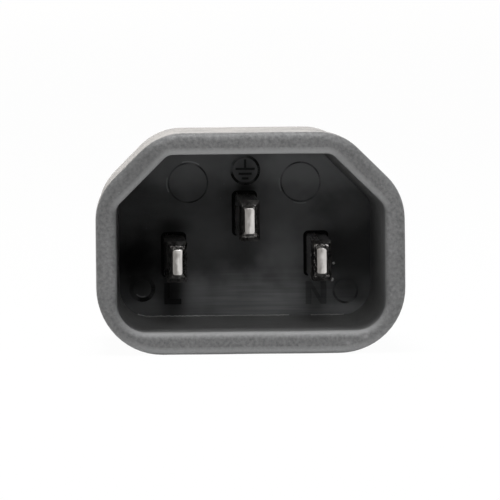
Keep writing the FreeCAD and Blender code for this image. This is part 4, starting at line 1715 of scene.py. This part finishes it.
@dataclass
class Studio:
    """The camera, a pale floor, a white surround and soft lamps."""

    aim: Point = (-0.09, -22.0, 10.10)
    yaw: float = 2.0
    pitch: float = 3.25
    roll: float = -0.5
    distance: float = 900.0
    field_width: float = 48.23
    sensor: float = 36.0
    clip: Spot = (0.01, 100.0)
    ambient: float = 0.20
    floor_size: float = 6000.0
    floor_show: float = 0.97
    floor_tone: float = 0.85
    lamps: tuple[Lamp, ...] = (
        Lamp("top_lamp", (-20.0, -75.0, 500.0), 190.0, 2.45),
        Lamp("front_lamp", (40.0, -560.0, 420.0), 260.0, 0.65),
        Lamp("back_lamp", (-150.0, 1230.0, 360.0), 760.0, 3.7, 0.09),
    )

    def camera(self) -> bpy.types.Object:
        """Set the camera at the photograph's viewing angle.

        Returns:
            The camera.
        """
        data = bpy.data.cameras.new("camera")
        data.sensor_width = self.sensor
        data.lens = self.sensor * self.distance / self.field_width
        data.clip_start, data.clip_end = self.clip
        camera = new_object("camera", data)
        yaw, pitch = math.radians(self.yaw), math.radians(self.pitch)
        back = Vector((-math.sin(yaw) * math.cos(pitch), -math.cos(yaw) * math.cos(pitch), math.sin(pitch)))
        turn = (-back).to_track_quat("-Z", "Y").to_matrix().to_4x4()
        roll = Matrix.Rotation(math.radians(self.roll), 4, "Z")
        place = Matrix.Translation((Vector(self.aim) + back * self.distance) * MM)
        camera.matrix_world = place @ turn @ roll
        bpy.context.scene.camera = camera
        return camera

    def white_rays(self, nodes: Nodes) -> bpy.types.NodeSocket:
        """Pick out the rays that see the white surround: camera, glossy and transmission.

        Args:
            nodes: the nodes of the floor's material or the world.

        Returns:
            The socket with the mask.
        """
        path = nodes.add("ShaderNodeLightPath").outputs
        seen = nodes.math("ADD", path["Is Camera Ray"], path["Is Glossy Ray"], clamp=True)
        return nodes.math("ADD", seen, path["Is Transmission Ray"], clamp=True)

    def surround(self) -> None:
        """Make the world: white to look at, and an even soft light on the plug."""
        world = bpy.data.worlds.new("surround")
        world.use_nodes = True
        bpy.context.scene.world = world
        nodes = Nodes(world.node_tree)
        strength = nodes.remap(self.white_rays(nodes), 0.0, 1.0, self.ambient, 1.0)
        light = nodes.add("ShaderNodeBackground", {"Color": (1.0, 1.0, 1.0, 1.0), "Strength": strength})
        nodes.add("ShaderNodeOutputWorld", {"Surface": light.outputs[0]})

    def floor(self) -> bpy.types.Object:
        """Lay the pale floor, which keeps a faint shadow.

        Returns:
            The floor.
        """
        half = self.floor_size / 2
        corners = [(-half, -half, 0.0), (half, -half, 0.0), (half, half, 0.0), (-half, half, 0.0)]
        piece = new_object("floor", mesh_from("floor", corners, [(0, 1, 2, 3)]))
        material, nodes = new_material("pale_floor")
        show = nodes.math("MULTIPLY", self.white_rays(nodes), self.floor_show)
        matt = nodes.add("ShaderNodeBsdfDiffuse", {"Color": grey(self.floor_tone)})
        white = nodes.add("ShaderNodeEmission", {"Color": grey(1.0)})
        mixed = nodes.add("ShaderNodeMixShader", {0: show, 1: matt.outputs[0], 2: white.outputs[0]})
        nodes.add("ShaderNodeOutputMaterial", {"Surface": mixed.outputs[0]})
        piece.data.materials.append(material)
        return piece

    def light(self) -> None:
        """Hang the lamps, each turned to the plug and hidden from the camera."""
        for lamp in self.lamps:
            data = bpy.data.lights.new(lamp.name, "AREA")
            data.shape = "DISK"
            data.size = lamp.size * MM
            data.energy = lamp.power
            data.color = grey(1.0, lamp.warmth)[:3]
            piece = new_object(lamp.name, data)
            place = Vector(lamp.place)
            piece.location = place * MM
            piece.rotation_euler = (Vector(self.aim) - place).to_track_quat("-Z", "Y").to_euler()
            piece.visible_camera = False

    def build(self) -> None:
        """Set up the whole studio."""
        bpy.context.scene.view_settings.view_transform = "Standard"
        self.camera()
        self.surround()
        self.floor()
        self.light()


def main() -> None:
    """Build and dress each sub-assembly, then the studio round them."""
    logging.basicConfig(level=logging.INFO, format="%(name)s: %(message)s")
    pieces = [OuterMould().build(), PinBridge().build(), InnerMould().dress(), MouldFlash().build(),
              FloorSpecks().build()]
    for contact, reach, burr in ((Contact.LINE, 13.5, 0.9), (Contact.NEUTRAL, 13.5, 1.3),
                                 (Contact.EARTH, 14.5, 0.8)):
        pieces.append(ContactPin(contact, *PIN_SPOTS[contact], reach, burr).build())
    for piece in pieces:
        LOG.info("%s: %d faces", piece.name, len(piece.data.polygons))
    Studio().build()


if __name__ == "__main__":
    main()
